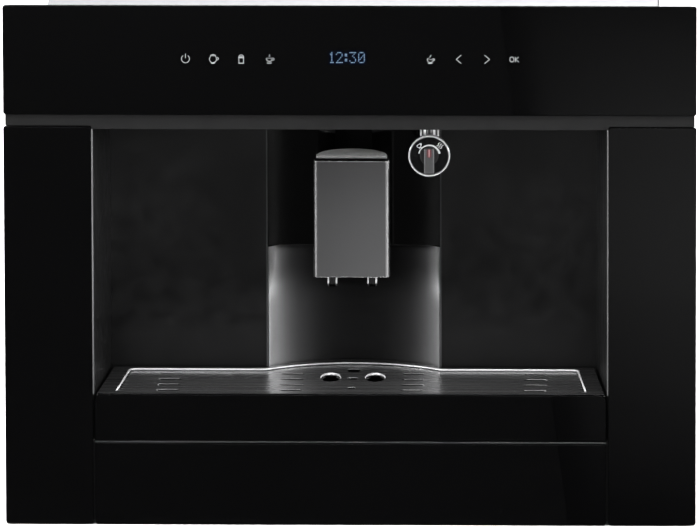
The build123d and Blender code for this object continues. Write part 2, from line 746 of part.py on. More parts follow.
def steam_collar():
    """The grooved bright collar that hangs the valve from the ceiling."""
    bottom = OUTLET_Z + VALVE_RADIUS + COLLAR_GROOVE
    profile = rect((0, COLLAR_RADIUS), (bottom, BAY_TOP))
    middle = (bottom + BAY_TOP) / 2
    half = COLLAR_GROOVE_HEIGHT / 2
    profile -= rect((COLLAR_RADIUS - COLLAR_GROOVE, COLLAR_RADIUS), (middle - half, middle + half))
    return Pos(OUTLET_X, valve_y(), 0) * revolve(Plane.XZ * profile, Axis.Z)


def selector_lever():
    """The turning hub with its lever down to the ring, and the shaft into the valve."""
    front = DIAL_FRONT - SELECTOR_LEVER_HEIGHT
    hub_front = DIAL_FRONT - SELECTOR_HUB_HEIGHT
    reach = DIAL_RADIUS - RING_WIDTH - SELECTOR_LEVER_RIM_GAP
    lever_length = inward((-reach, SELECTOR_HUB_RADIUS), SELECTOR_LEVER_END_INSET)
    lever_view = rect(centred(SELECTOR_LEVER_WIDTH / 2), lever_length, SELECTOR_LEVER_CORNER)
    lever = carried_back(Pos(OUTLET_X, OUTLET_Z) * lever_view, (front, hub_front))
    lever = fillet(lever.faces().sort_by(Axis.Y)[0].edges(), SELECTOR_LEVER_EDGE_ROUND)
    centre = (OUTLET_X, hub_front, OUTLET_Z)
    hub = rod(centre, (0, 1, 0), SELECTOR_HUB_RADIUS, SELECTOR_HUB_HEIGHT - LID_GAP)
    shaft = rod(centre, (0, 1, 0), SELECTOR_SHAFT_RADIUS, SELECTOR_HUB_HEIGHT + SELECTOR_SHAFT_LENGTH)
    return lever + hub + shaft


# ---------------------------------------------------------------- drip drawer


def bulged_outline(front, back, half_at, bulge_depth):
    """The tray's outline: tapered sides, a straight back and a rounded middle under the concave panel."""
    chord = INSERT_HALF + TRIM
    corners = [(-half_at(front), front), (half_at(front), front), (half_at(back), back), (chord, back)]
    left = [(-chord, back), (-half_at(back), back), (-half_at(front), front)]
    edges = [Line(a, b) for a, b in zip(corners, corners[1:])]
    edges.append(ThreePointArc((chord, back), (0, bulge_depth), (-chord, back)))
    edges += [Line(a, b) for a, b in zip(left, left[1:])]
    return make_face(edges)


def tray_plan(inset=0.0):
    """The drip tray's plan, moved in on every side."""
    return bulged_outline(
        TRAY_FRONT + inset,
        GRID_BACK + GRID_OVERHANG - inset,
        lambda depth: bay_half_at(depth) - GRID_SIDE_GAP - inset,
        GRID_BULGE_DEPTH + GRID_OVERHANG - inset,
    )


def pressed_plan(inset=0.0):
    """The outline of the pressed-down middle of the cup grid, with rounded outer corners."""
    plan = bulged_outline(
        PRESS_FRONT + inset,
        PRESS_BACK - inset,
        lambda depth: bay_half_at(depth) - GRID_SIDE_GAP - PRESS_SIDE_INSET - inset,
        PRESS_BULGE_DEPTH - inset,
    )
    outer = [corner for corner in plan.vertices() if abs(corner.X) > INSERT_WIDTH]
    plan = fillet([corner for corner in outer if corner.Y < GRID_BACK / 2], PRESS_FRONT_ROUND)
    outer = [corner for corner in plan.vertices() if abs(corner.X) > INSERT_WIDTH]
    return fillet([corner for corner in outer if corner.Y > PRESS_BACK - inset - GLASS_BEVEL], PRESS_BACK_ROUND)


def pressing(top):
    """The pressing as a solid whose upper face is at that height, its sides sloping in as it goes down."""
    low = Plane.XY.offset(top - GRID_PRESS) * pressed_plan(PRESS_SLOPE)
    return loft([Plane.XY.offset(top) * pressed_plan(), low])


def flanged_hole(x, depth, width, length, drop):
    """A punched hole in the pressing, as the metal turned down round it and the opening itself."""
    top = GRID_TOP - GRID_PRESS

    def taper(grown):
        half_width, half_length = width / 2 + grown, length / 2 + grown
        rim = Plane.XY.offset(top) * Pos(x, depth) * Ellipse(half_width, half_length)
        close = HOLE_TAPER * drop
        foot = Plane.XY.offset(top - drop) * Pos(x, depth) * Ellipse(half_width - close, half_length - close)
        return loft([rim, foot])

    return taper(GRID_SHEET), taper(0.0)


def cup_grid():
    """The pressed steel grid: a flat border, a pressed-down middle, a skirt, slots and drains."""
    top, under = GRID_TOP, GRID_TOP - GRID_SHEET
    low_top, low_under = top - GRID_PRESS, under - GRID_PRESS
    grid = raised(tray_plan(GRID_OVERHANG), (under, top)) + pressing(under) - pressing(top)
    skirt = TRAY_WALL + GRID_SKIRT_GAP
    grid += raised(tray_plan(skirt) - tray_plan(skirt + GRID_SHEET), (under - GRID_SKIRT, under))
    slot = raised(SlotOverall(SLOT_LENGTH, SLOT_WIDTH), (low_under, low_top))
    for x in (-SLOT_OUTER_X, -SLOT_INNER_X, SLOT_INNER_X, SLOT_OUTER_X):
        for row in range(SLOT_ROWS):
            grid -= Pos(x, SLOT_ROW_FIRST + row * SLOT_ROW_PITCH, 0) * slot
    holes = [(0, depth, width, width, DRAIN_DROP) for depth, width in DRAIN_HOLES]
    holes += [(side * CATCH_SPACING / 2, CATCH_Y, CATCH_WIDTH, CATCH_LENGTH, CATCH_DROP) for side in (-1, 1)]
    for hole in holes:
        flange, opening = flanged_hole(*hole)
        grid = grid + flange - opening
    return grid


def tray_levels():
    """The drip tray's underside and the height of its rim."""
    return SHELF_TOP + TRAY_FLOAT_GAP, GRID_TOP - GRID_SHEET


def neck_plan(inset=0.0):
    """The drawer's narrow rear part, which runs in under the brew unit."""
    return rect(centred(DRAWER_NECK_WIDTH / 2 - inset), (GRID_BACK - TRAY_WALL, DRAWER_BACK - inset))


def drip_tray():
    """The moulded drawer: a wide tray in the bay and a narrow neck that carries the grounds container."""
    under, rim = tray_levels()
    inside = under + TRAY_WALL
    tray = raised(tray_plan(), (under, rim))
    neck = raised(neck_plan(), (under, NECK_TOP)) - raised(tray_plan(), (under, rim))
    shell = tray + neck
    shell -= raised(tray_plan(TRAY_WALL), (inside, rim))
    shell -= raised(neck_plan(TRAY_WALL) - tray_plan(), (inside, NECK_TOP))
    hump_half = GUIDE_RIB_WIDTH / 2 + GUIDE_FIT
    hump_top = SHELF_TOP + GUIDE_RIB_HEIGHT + GUIDE_FIT
    for side in (-1, 1):
        run = (TRAY_FRONT + TRAY_WALL, DRAWER_BACK)
        hump = block(centred(hump_half + TRAY_WALL), run, (inside - TRAY_WALL / 2, hump_top + TRAY_WALL))
        groove = block(centred(hump_half), run, (under, hump_top))
        shell = shell + Pos(side * GUIDE_RIB_SPACING / 2, 0, 0) * hump
        shell = shell - Pos(side * GUIDE_RIB_SPACING / 2, 0, 0) * groove
    return shell


def grounds_container():
    """The grounds container: a rounded open box that stands on the drawer's floor."""
    under, _ = tray_levels()
    hump_top = SHELF_TOP + GUIDE_RIB_HEIGHT + GUIDE_FIT + TRAY_WALL
    side = DRAWER_NECK_WIDTH / 2 - TRAY_WALL - GROUNDS_GAP
    back = DRAWER_BACK - TRAY_WALL - GROUNDS_GAP
    plan = rect(centred(side), (GROUNDS_FRONT, back), GROUNDS_ROUND)
    inner = rect(
        centred(side - GROUNDS_WALL),
        (GROUNDS_FRONT + GROUNDS_WALL, back - GROUNDS_WALL),
        GROUNDS_ROUND - GROUNDS_WALL,
    )
    return raised(plan, (hump_top, NECK_TOP)) - raised(inner, (hump_top + GROUNDS_WALL, NECK_TOP))


# ---------------------------------------------------------------- chassis


def screw_places():
    """Each panel screw on the right half: its place, turned so that its head looks outward."""
    flange = BODY_INNER - PANEL_FLANGE / 2
    pan = BODY_BOTTOM + PAN_FLANGE / 2
    places = [Pos(flange, BODY_BACK, height) * Rot(-90, 0, 0) for height in SCREW_HEIGHTS]
    places += [Pos(flange, depth, BODY_TOP) for depth in SCREW_DEPTHS]
    places += [Pos(BODY_HALF, depth, pan) * Rot(0, 90, 0) for depth in SCREW_DEPTHS]
    return places + [Pos(PAN_SCREW_X, BODY_BACK, pan) * Rot(-90, 0, 0)]


def screw_holes():
    """What the panel screws clear through both sheets, on the right half and mirrored."""
    holes = [place * rod((0, 0, -SCREW_LENGTH), (0, 0, 1), SCREW_RADIUS + SCREW_FIT, SCREW_LENGTH)
             for place in screw_places()]
    return holes + [opposite(hole) for hole in holes]


def panel_screws():
    """The pan-head screws with cross recesses that hold the panels together."""
    head = rod((0, 0, 0), (0, 0, 1), SCREW_HEAD_RADIUS, SCREW_HEAD)
    screw = fillet(head.edges().group_by(Axis.Z)[-1], SCREW_HEAD_ROUND)
    screw += rod((0, 0, -SCREW_LENGTH), (0, 0, 1), SCREW_RADIUS, SCREW_LENGTH)
    recess = (SCREW_HEAD - SCREW_CROSS_DEPTH, SCREW_HEAD)
    for long, wide in ((SCREW_CROSS_LENGTH, SCREW_CROSS_WIDTH), (SCREW_CROSS_WIDTH, SCREW_CROSS_LENGTH)):
        screw -= block(centred(long / 2), centred(wide / 2), recess)
    placed = [place * screw for place in screw_places()]
    return Compound(children=placed + [opposite(each) for each in placed])


def with_bead(sheet, outside, length):
    """The sheet with one pressed bead: outside is the plane of its outer face, with X along the bead."""
    inside = outside.offset(-SHEET)
    sheet += extrude(outside * SlotOverall(length, BEAD_WIDTH), BEAD, taper=BEAD_SLOPE)
    return sheet - extrude(inside * SlotOverall(length - SHEET, BEAD_WIDTH - SHEET), BEAD, taper=BEAD_SLOPE)


def base_tray():
    """The pressed pan that carries the machine, with drain slots."""
    plan = rect(centred(BODY_INNER), (CHASSIS_FRONT, BODY_BACK - SHEET))
    inner = rect(centred(BODY_INNER - SHEET), (CHASSIS_FRONT + SHEET, BODY_BACK - 2 * SHEET))
    rim = BODY_BOTTOM + PAN_FLANGE
    pan = raised(plan, (BODY_BOTTOM, rim)) - raised(inner, (PAN_TOP, rim))
    slot = raised(SlotOverall(VENT_LENGTH, VENT_WIDTH), (BODY_BOTTOM, PAN_TOP))
    for row in range(VENT_COUNT):
        depth = CHASSIS_FRONT + VENT_LENGTH / 2 + row * VENT_PITCH
        for x in (-VENT_LENGTH, VENT_LENGTH):
            pan -= Pos(x, depth, 0) * slot
    return pan - screw_holes()


def side_panel():
    """A side sheet with front, top and rear flanges and a group of vent slots."""
    height = (BODY_BOTTOM, TOP_UNDERSIDE)
    depth = (CHASSIS_FRONT, BODY_BACK - SHEET)
    panel = block((BODY_INNER, BODY_HALF), depth, height)
    inner = BODY_INNER - PANEL_FLANGE
    above_pan = (BODY_BOTTOM + PAN_FLANGE, TOP_UNDERSIDE)
    panel += block((inner, BODY_INNER), (depth[0], depth[0] + SHEET), above_pan)
    panel += block((inner, BODY_INNER), (depth[1] - SHEET, depth[1]), above_pan)
    panel += block((inner, BODY_INNER), depth, (TOP_UNDERSIDE - SHEET, TOP_UNDERSIDE))
    slot = carried_across(rotate_slot(), (BODY_INNER, BODY_HALF))
    for row in range(VENT_COUNT):
        panel -= Pos(0, BOARD_Y[0] + VENT_PITCH * (row + 1), BOARD_Z[1] + VENT_LENGTH / 2) * slot
    for level in SIDE_BEAD_Z:
        outside = Plane(origin=(BODY_HALF, SIDE_BEAD_Y, level), x_dir=(0, 1, 0), z_dir=(1, 0, 0))
        panel = with_bead(panel, outside, SIDE_BEAD_LENGTH)
    return panel - screw_holes()


def rotate_slot():
    return Rot(0, 0, 90) * SlotOverall(VENT_LENGTH, VENT_WIDTH)


def inlet_cut():
    return rect(
        (INLET_X - INLET_WIDTH / 2 + PANEL_FLANGE / 2, INLET_X + INLET_WIDTH / 2 - PANEL_FLANGE / 2),
        (INLET_Z - INLET_HEIGHT / 2 + INLET_FLANGE, INLET_Z + INLET_HEIGHT / 2 - INLET_FLANGE),
    )


def rear_panel():
    """The rear sheet with two banks of vent slots and the mains inlet's cut-out."""
    panel = block(centred(BODY_HALF), (BODY_BACK - SHEET, BODY_BACK), (BODY_BOTTOM, TOP_UNDERSIDE))
    slot = carried_back(SlotOverall(VENT_LENGTH, VENT_WIDTH), (BODY_BACK - SHEET, BODY_BACK))
    for row in range(VENT_COUNT):
        for x in (-VENT_LENGTH, VENT_LENGTH):
            panel -= Pos(x, 0, BREW_BOTTOM + row * VENT_PITCH) * slot
    for x in (-REAR_BEAD_X, REAR_BEAD_X):
        outside = Plane(origin=(x, BODY_BACK, REAR_BEAD_Z), x_dir=(0, 0, 1), z_dir=(0, 1, 0))
        panel = with_bead(panel, outside, REAR_BEAD_LENGTH)
    return panel - carried_back(inlet_cut(), (BODY_BACK - SHEET, BODY_BACK)) - screw_holes()


def filler_cut(x, y):
    """The top panel's cut-out for a filling opening, a little wider than what hangs in it."""
    return rect((x[0] - LID_GAP, x[1] + LID_GAP), (y[0] - LID_GAP, y[1] + LID_GAP), FILLER_CORNER)


def top_panel():
    sheet = block(centred(BODY_HALF), (CHASSIS_FRONT, BODY_BACK), (TOP_UNDERSIDE, BODY_TOP))
    cuts = filler_cut(HOPPER_X, HOPPER_Y) + filler_cut(CHUTE_X, CHUTE_Y)
    cuts += filler_cut((TANK_X[0] - LINER, TANK_X[1] + LINER), (TANK_Y[0] - LINER, TANK_Y[1] + LINER))
    cuts += filler_cut(
        (SWITCH_X - SWITCH_WIDTH / 2, SWITCH_X + SWITCH_WIDTH / 2),
        (SWITCH_Y - SWITCH_LENGTH / 2, SWITCH_Y + SWITCH_LENGTH / 2),
    )
    sheet -= raised(cuts, (TOP_UNDERSIDE, BODY_TOP))
    stem = rod((ADJUSTER_X, ADJUSTER_Y, TOP_UNDERSIDE), (0, 0, 1), ADJUSTER_STEM_RADIUS + ROD_FIT, SHEET)
    return sheet - stem - screw_holes()


def grinder_centre():
    return sum(HOPPER_X) / 2, sum(HOPPER_Y) / 2


def grinder_shelf_height():
    return HOPPER_THROAT_TOP - GRINDER_HEIGHT


def bulkhead():
    """The upright sheet behind the bay, with the welded shelves that carry the grinder and the tank."""
    foot = BULKHEAD_FOOT_WIDTH / 2
    view = rect(centred(BODY_INNER), (BODY_BOTTOM + PAN_FLANGE, TOP_UNDERSIDE))
    view += rect(centred(BODY_INNER - SHEET), (PAN_TOP, TOP_UNDERSIDE))
    view -= rect(centred(foot), (PAN_TOP, BACK_BOTTOM + LINER))
    view -= Pos(PIPE_X, PIPE_CROSSING_HEIGHT) * Circle(PIPE_RADIUS + LINER)
    view -= rect(sorted((BODY_INNER - PANEL_FLANGE, BODY_INNER)), (TOP_UNDERSIDE - SHEET, TOP_UNDERSIDE))
    view -= rect(sorted((-BODY_INNER, PANEL_FLANGE - BODY_INNER)), (TOP_UNDERSIDE - SHEET, TOP_UNDERSIDE))
    sheet = carried_back(view, (BULKHEAD_FRONT, BULKHEAD_BACK))
    centre_x, centre_y = grinder_centre()
    top = grinder_shelf_height()
    shelf_back = centre_y + GRINDER_RADIUS
    width = (centre_x - GRINDER_RADIUS, centre_x + GRINDER_RADIUS)
    sheet += block(width, (BULKHEAD_FRONT, shelf_back), (top - SHEET, top))
    sheet += tank_shelf()
    for edge in (centre_x - GRINDER_RADIUS, centre_x + GRINDER_RADIUS - SHEET):
        gusset = outline(
            (BULKHEAD_FRONT, top - SHEET), (shelf_back, top - SHEET), (shelf_back, top - SHELF_LIP),
            (BULKHEAD_BACK, top - 3 * SHELF_LIP), (BULKHEAD_FRONT, top - 3 * SHELF_LIP),
        )
        sheet += carried_across(gusset, (edge, edge + SHEET))
    return sheet


def tank_shelf_top():
    return TANK_BOTTOM - SHELF_LIP / 2


def tank_shelf():
    top = tank_shelf_top()
    shelf = block((TANK_X[0], BODY_INNER), (BULKHEAD_FRONT, TANK_Y[1]), (top - SHEET, top))
    shelf += block((TANK_X[0], TANK_X[0] + SHEET), (BULKHEAD_FRONT, TANK_Y[1]), (top - SHELF_LIP, top))
    return shelf


# ---------------------------------------------------------------- inside


def filler_rim(x, y):
    """The lip that hangs a moulded filler in the top panel's cut-out."""
    outer = rect(inward(x, -FILLER_LIP_WIDTH), inward(y, -FILLER_LIP_WIDTH))
    return raised(outer, (BODY_TOP, BODY_TOP + FILLER_LIP))


def inward(pair, amount):
    return pair[0] + amount, pair[1] - amount


def bean_hopper():
    """The bean hopper: a straight mouth, a lofted funnel and a round throat on the grinder."""
    centre_x, centre_y = grinder_centre()

    def funnel(wall):
        mouth = rect(inward(HOPPER_X, wall), inward(HOPPER_Y, wall), GROUNDS_ROUND - wall)
        throat = Pos(centre_x, centre_y) * Circle(HOPPER_THROAT_RADIUS - wall)
        low, high = Plane.XY.offset(HOPPER_THROAT_TOP), Plane.XY.offset(HOPPER_STRAIGHT_BOTTOM)
        tapered = loft([low * throat, high * mouth])
        return raised(mouth, (HOPPER_STRAIGHT_BOTTOM, BODY_TOP + FILLER_LIP)) + tapered

    hopper = filler_rim(HOPPER_X, HOPPER_Y) + funnel(0) - funnel(HOPPER_WALL)
    return hopper + knuckles(*rim_edges(HOPPER_X, HOPPER_Y))


def hinged_lid(x, y, under):
    """A flat lid with a bored hinge barrel along its rear edge, knuckle notches and a finger dip."""
    start, end = inward(x, LID_HINGE_INSET)
    level = under + LID_HINGE_RADIUS
    lid = raised(rect(x, y, FILLER_CORNER), (under, under + LID))
    lid += rod((start, y[1], level), (1, 0, 0), LID_HINGE_RADIUS, end - start)
    lid -= Pos(sum(x) / 2, y[0] + LID, under + LID) * Sphere(LID)
    notch = KNUCKLE_LENGTH + 2 * LID_GAP
    bore = LID_PIN_LENGTH + LID_GAP
    for low, first in ((start - notch, start), (end, end - bore)):
        lid -= block((low, low + notch), (y[1] - LID_HINGE_RADIUS - LID_GAP, y[1]), (under, under + LID))
        lid -= rod((first, y[1], level), (1, 0, 0), LID_PIN_RADIUS + LID_PIN_FIT, bore)
    return lid


def knuckles(x, y, under):
    """The two knuckles that stand on a rim behind a lid, each with the pin that enters the lid's barrel."""
    level = under + LID_HINGE_RADIUS
    start = x[0] + LID_HINGE_INSET - LID_GAP - KNUCKLE_LENGTH
    foot = (y[1] - LID_HINGE_RADIUS, y[1])
    knuckle = rod((start, y[1], level), (1, 0, 0), LID_HINGE_RADIUS, KNUCKLE_LENGTH)
    knuckle += block((start, start + KNUCKLE_LENGTH), foot, (under - LID_GAP, level))
    knuckle += rod((start, y[1], level), (1, 0, 0), LID_PIN_RADIUS, KNUCKLE_LENGTH + LID_GAP + LID_PIN_LENGTH)
    middle = sum(x) / 2
    return knuckle + Pos(middle, 0, 0) * opposite(Pos(-middle, 0, 0) * knuckle)


def rim_edges(x, y):
    """The edges of a filler's rim, which its lid shares, and the height of the lid's underside."""
    return inward(x, -FILLER_LIP_WIDTH), inward(y, -FILLER_LIP_WIDTH), BODY_TOP + FILLER_LIP + LID_GAP


def hopper_lid():
    return hinged_lid(*rim_edges(HOPPER_X, HOPPER_Y))


def ground_chute():
    """The chute for ready-ground coffee, from the top panel down to the brew unit."""
    bottom = BREW_TOP + BREW_NECK
    outer = raised(rect(CHUTE_X, CHUTE_Y, FILLER_CORNER), (bottom, BODY_TOP + FILLER_LIP))
    bore = rect(inward(CHUTE_X, CHUTE_WALL), inward(CHUTE_Y, CHUTE_WALL))
    tube = outer + filler_rim(CHUTE_X, CHUTE_Y) - raised(bore, (bottom, BODY_TOP + FILLER_LIP))
    return tube + knuckles(*rim_edges(CHUTE_X, CHUTE_Y))


def chute_lid():
    return hinged_lid(*rim_edges(CHUTE_X, CHUTE_Y))


def grinder():
    """The grinder head on its shelf, its motor below, and the spout that leads to the brew unit."""
    centre_x, centre_y = grinder_centre()
    base = grinder_shelf_height()
    head = rod((centre_x, centre_y, base), (0, 0, 1), GRINDER_RADIUS, GRINDER_HEIGHT)
    head = chamfer(head.edges().group_by(Axis.Z)[-1], GRINDER_RADIUS / 4)
    motor_foot = (centre_x, centre_y, base - SHEET - GRINDER_MOTOR_HEIGHT)
    motor = rod(motor_foot, (0, 0, 1), GRINDER_MOTOR_RADIUS, GRINDER_MOTOR_HEIGHT)
    motor = fillet(motor.edges().group_by(Axis.Z)[0], LID)
    spout_top = BREW_TOP - LINER
    spout = block(
        (centre_x + GRINDER_RADIUS / 2, BREW_X[0]),
        (centre_y - GRINDER_SPOUT_WIDTH / 2, centre_y + GRINDER_SPOUT_WIDTH / 2),
        (spout_top - GRINDER_SPOUT_HEIGHT, spout_top),
    )
    return Compound(children=[head + spout, motor])


def grind_adjuster():
    """The fluted grind adjuster: a knob on the top panel with its stem through it."""
    knob = rod((ADJUSTER_X, ADJUSTER_Y, BODY_TOP + LID_GAP), (0, 0, 1), ADJUSTER_RADIUS, ADJUSTER_HEIGHT)
    knob = fillet(knob.edges().group_by(Axis.Z)[-1], LINER / 2)
    for step in range(ADJUSTER_FLUTES):
        angle = 2 * math.pi * step / ADJUSTER_FLUTES
        x = ADJUSTER_X + ADJUSTER_RADIUS * math.cos(angle)
        y = ADJUSTER_Y + ADJUSTER_RADIUS * math.sin(angle)
        knob -= rod((x, y, BODY_TOP + LID_GAP), (0, 0, 1), ADJUSTER_FLUTE_RADIUS, ADJUSTER_HEIGHT)
    stem_foot = (ADJUSTER_X, ADJUSTER_Y, BODY_TOP - ADJUSTER_STEM_LENGTH)
    return knob + rod(stem_foot, (0, 0, 1), ADJUSTER_STEM_RADIUS, ADJUSTER_STEM_LENGTH + LID_GAP)


def brew_unit():
    """The brew unit: a housing on the bulkhead with its cylinder and the neck that takes the grounds."""
    body = block(BREW_X, (BULKHEAD_BACK, BREW_BACK), (BREW_BOTTOM, BREW_TOP))
    body = chamfer(body.edges().filter_by(Axis.Z), LID)
    centre_y = sum(CHUTE_Y) / 2
    cylinder_foot = (0, BREW_BACK - LINER, BREW_BOTTOM + BREW_CYLINDER_RADIUS + LID)
    cylinder = rod(cylinder_foot, (0, 1, 0), BREW_CYLINDER_RADIUS, SHELF_LIP)
    neck = block(inward(CHUTE_X, CHUTE_WALL), inward(CHUTE_Y, CHUTE_WALL), (BREW_TOP, BREW_TOP + BREW_NECK))
    throat = rod((0, centre_y, BREW_TOP), (0, 0, 1), HOPPER_THROAT_RADIUS / 2, BREW_NECK)
    return body + cylinder + neck - throat


def water_tank():
    """The lift-out tank: a rounded open box with a rim, and a valve boss over its seat."""
    plan = rect(TANK_X, TANK_Y, TANK_ROUND)
    inner = rect(inward(TANK_X, TANK_WALL), inward(TANK_Y, TANK_WALL), TANK_ROUND - TANK_WALL)
    top = BODY_TOP
    tank = raised(plan, (TANK_BOTTOM, top)) - raised(inner, (TANK_BOTTOM + TANK_WALL, top))
    rim_plan = rect(inward(TANK_X, -LINER), inward(TANK_Y, -LINER), FILLER_CORNER)
    return tank + raised(rim_plan - inner, (top - LINER, top)) + knuckles(*tank_rim_edges())


def tank_rim_edges():
    return inward(TANK_X, -LINER), inward(TANK_Y, -LINER), BODY_TOP + LID_GAP


def tank_lid():
    return hinged_lid(*tank_rim_edges())


def tank_seat():
    """The socket that the tank's valve drops on to."""
    centre = (sum(TANK_X) / 2, sum(TANK_Y) / 2, tank_shelf_top())
    seat = rod(centre, (0, 0, 1), TANK_SEAT_RADIUS, TANK_BOTTOM - TANK_SEAT_GAP - tank_shelf_top())
    return fillet(seat.edges().group_by(Axis.Z)[-1], LINER / 2)


def boiler():
    """The cast heater block with fins on its outer face and a port on top."""
    body = block(BOILER_X, BOILER_Y, (PAN_TOP, PAN_TOP + BOILER_HEIGHT))
    body = fillet(body.edges().filter_by(Axis.Z), LID)
    pitch = (BOILER_Y[1] - BOILER_Y[0]) / (BOILER_RIBS + 1)
    for step in range(BOILER_RIBS):
        middle = BOILER_Y[0] + pitch * (step + 1)
        rib = (BOILER_X[1] - LINER, BOILER_X[1] + BOILER_RIB_DEPTH)
        body += block(rib, (middle - LINER, middle + LINER), (PAN_TOP, PAN_TOP + BOILER_HEIGHT - LID))
    return body


def pump():
    """The vibration pump lying front to back."""
    start = (PUMP_X, PUMP_Y[0], PAN_TOP + PUMP_AXIS_HEIGHT)
    body = rod(start, (0, 1, 0), PUMP_RADIUS, PUMP_Y[1] - PUMP_Y[0])
    body = fillet(body.edges().group_by(Axis.Y)[0] + body.edges().group_by(Axis.Y)[-1], LID)
    nose = rod((PUMP_X, PUMP_Y[1] - LINER, start[2]), (0, 1, 0), PUMP_RADIUS / 3, SHELF_LIP)
    return body + nose


def pump_cradle():
    """The rubber cradle that holds the pump, bored to its radius."""
    half = PUMP_CRADLE_WIDTH / 2
    axis_height = PAN_TOP + PUMP_AXIS_HEIGHT
    length = PUMP_Y[1] - PUMP_Y[0]
    cradle = block((PUMP_X - half, PUMP_X + half), inward(PUMP_Y, SHELF_LIP), (PAN_TOP, axis_height))
    return cradle - rod((PUMP_X, PUMP_Y[0], axis_height), (0, 1, 0), PUMP_RADIUS + LID_GAP, length)


def steam_pipe():
    """The metal pipe from the heater, up behind the bay, through the bulkhead and down to the collar."""
    port_x, port_y = BOILER_X[0] + PIPE_BEND, BOILER_Y[0] + PIPE_BEND
    heater_top = PAN_TOP + BOILER_HEIGHT
    turn = heater_top + 2 * PIPE_BEND + LINER
    route = [
        (port_x, port_y, heater_top),
        (port_x, port_y, turn),
        (PIPE_X, port_y - 2 * PIPE_BEND, turn + 2 * PIPE_BEND),
        (PIPE_X, port_y - 2 * PIPE_BEND, PIPE_CROSSING_HEIGHT),
        (PIPE_X, valve_y(), PIPE_CROSSING_HEIGHT),
        (OUTLET_X, valve_y(), PIPE_CROSSING_HEIGHT),
        (OUTLET_X, valve_y(), BAY_TOP),
    ]
    path = FilletPolyline(*route, radius=PIPE_BEND / 2)
    return sweep(Plane(origin=route[0], z_dir=(0, 0, 1)) * Circle(PIPE_RADIUS), path)


def control_board():
    """The control board on standoffs inside the left side panel, with its relays, cans and heat sink."""
    face = BOARD_STANDOFF - BODY_INNER
    board = block((face, face + BOARD), BOARD_Y, BOARD_Z)
    for depth in inward(BOARD_Y, BOARD_STANDOFF):
        for height in inward(BOARD_Z, BOARD_STANDOFF):
            board += rod((-BODY_INNER, depth, height), (1, 0, 0), BOARD_BOSS_RADIUS, BOARD_STANDOFF)
    top = face + BOARD
    for depth, height, length, tall, thick in BOARD_BLOCKS:
        start, foot = BOARD_Y[0] + depth, BOARD_Z[0] + height
        board += block((top, top + thick), (start, start + length), (foot, foot + tall))
    depth, height, length, tall, thick = HEAT_SINK
    pitch = length / HEAT_SINK_FINS
    foot = BOARD_Z[0] + height
    for fin in range(HEAT_SINK_FINS - 1):
        middle = BOARD_Y[0] + depth + pitch * (fin + 1)
        groove = (middle - pitch / 4, middle + pitch / 4)
        board -= block((top + BOARD, top + thick), groove, (foot, foot + tall))
    for depth, height, radius, length in BOARD_CANS:
        board += rod((top, BOARD_Y[0] + depth, BOARD_Z[0] + height), (1, 0, 0), radius, length)
    return board


def mains_inlet():
    """The recessed inlet on the rear panel, with its three blades."""
    flange_plan = Pos(INLET_X, INLET_Z) * rect(centred(INLET_WIDTH / 2), centred(INLET_HEIGHT / 2), LID)
    inlet = carried_back(flange_plan, (BODY_BACK, BODY_BACK + INLET_FLANGE))
    cut = inlet_cut()
    inlet += carried_back(offset(cut, -LID_GAP), (BODY_BACK - INLET_BODY_DEPTH, BODY_BACK))
    socket = Pos(INLET_X, INLET_Z) * rect(centred(INLET_SOCKET_WIDTH / 2), centred(INLET_SOCKET_HEIGHT / 2))
    face = BODY_BACK + INLET_FLANGE
    floor = face - INLET_SOCKET_DEPTH
    inlet -= carried_back(chamfer(socket.vertices().group_by(Axis.Y)[-1], LID), (floor, face))
    for x, z in ((-PIN_SPACING, -LINER), (0, LINER), (PIN_SPACING, -LINER)):
        pin = block(centred(PIN_THICK / 2), (floor, face - PIN_RECESS), centred(PIN_WIDTH / 2))
        inlet += Pos(INLET_X + x, 0, INLET_Z + z) * pin
    return inlet


def switch_body():
    """The main switch's housing in the top panel, open above for the rocker."""
    half_x, half_y = SWITCH_WIDTH / 2, SWITCH_LENGTH / 2
    plan = Pos(SWITCH_X, SWITCH_Y) * rect(centred(half_x), centred(half_y), FILLER_CORNER)
    lip_plan = Pos(SWITCH_X, SWITCH_Y) * rect(centred(half_x + SWITCH_LIP), centred(half_y + SWITCH_LIP))
    top = BODY_TOP + FILLER_LIP
    body = raised(plan, (BODY_TOP - SWITCH_BODY_HEIGHT, top)) + raised(lip_plan, (BODY_TOP, top))
    well = Pos(SWITCH_X, SWITCH_Y) * rect(centred(half_x - SWITCH_WALL), centred(half_y - SWITCH_WALL))
    return body - raised(well, (BODY_TOP - SWITCH_BODY_HEIGHT + SWITCH_WALL, top))


def switch_rocker():
    """The rocker, tipped to its off side; it turns about a line across the housing."""
    half_x = SWITCH_WIDTH / 2 - SWITCH_WALL - ROCKER_GAP
    half_y = SWITCH_LENGTH / 2 - SWITCH_WALL - 2 * ROCKER_GAP
    level = BODY_TOP
    lift = half_y * math.tan(math.radians(ROCKER_TILT))
    view = outline(
        (-half_y, lift + LINER),
        (0, LINER),
        (half_y, lift + LINER),
        (half_y, lift - LINER),
        (0, -ROCKER_THICK),
        (-half_y, lift - LINER),
    )
    paddle = carried_across(view, centred(half_x))
    pin = rod((-half_x - ROCKER_GAP, 0, -LINER), (1, 0, 0), LINER / 2, 2 * (half_x + ROCKER_GAP))
    tilted = Pos(0, 0, -LINER) * Rot(ROCKER_TILT, 0, 0) * Pos(0, 0, LINER) * (paddle + pin)
    return Pos(SWITCH_X, SWITCH_Y, level) * tilted


# ---------------------------------------------------------------- slides and mounting frame


def channel(height, width, sheet):
    """A folded channel section: its web at 0, its flanges reaching inward, opening away from the web."""
    section = rect((0, width), centred(height / 2), RAIL_BEND)
    section += rect((RAIL_BEND, width), centred(height / 2))
    return section - rect((sheet, width), centred(height / 2 - sheet))


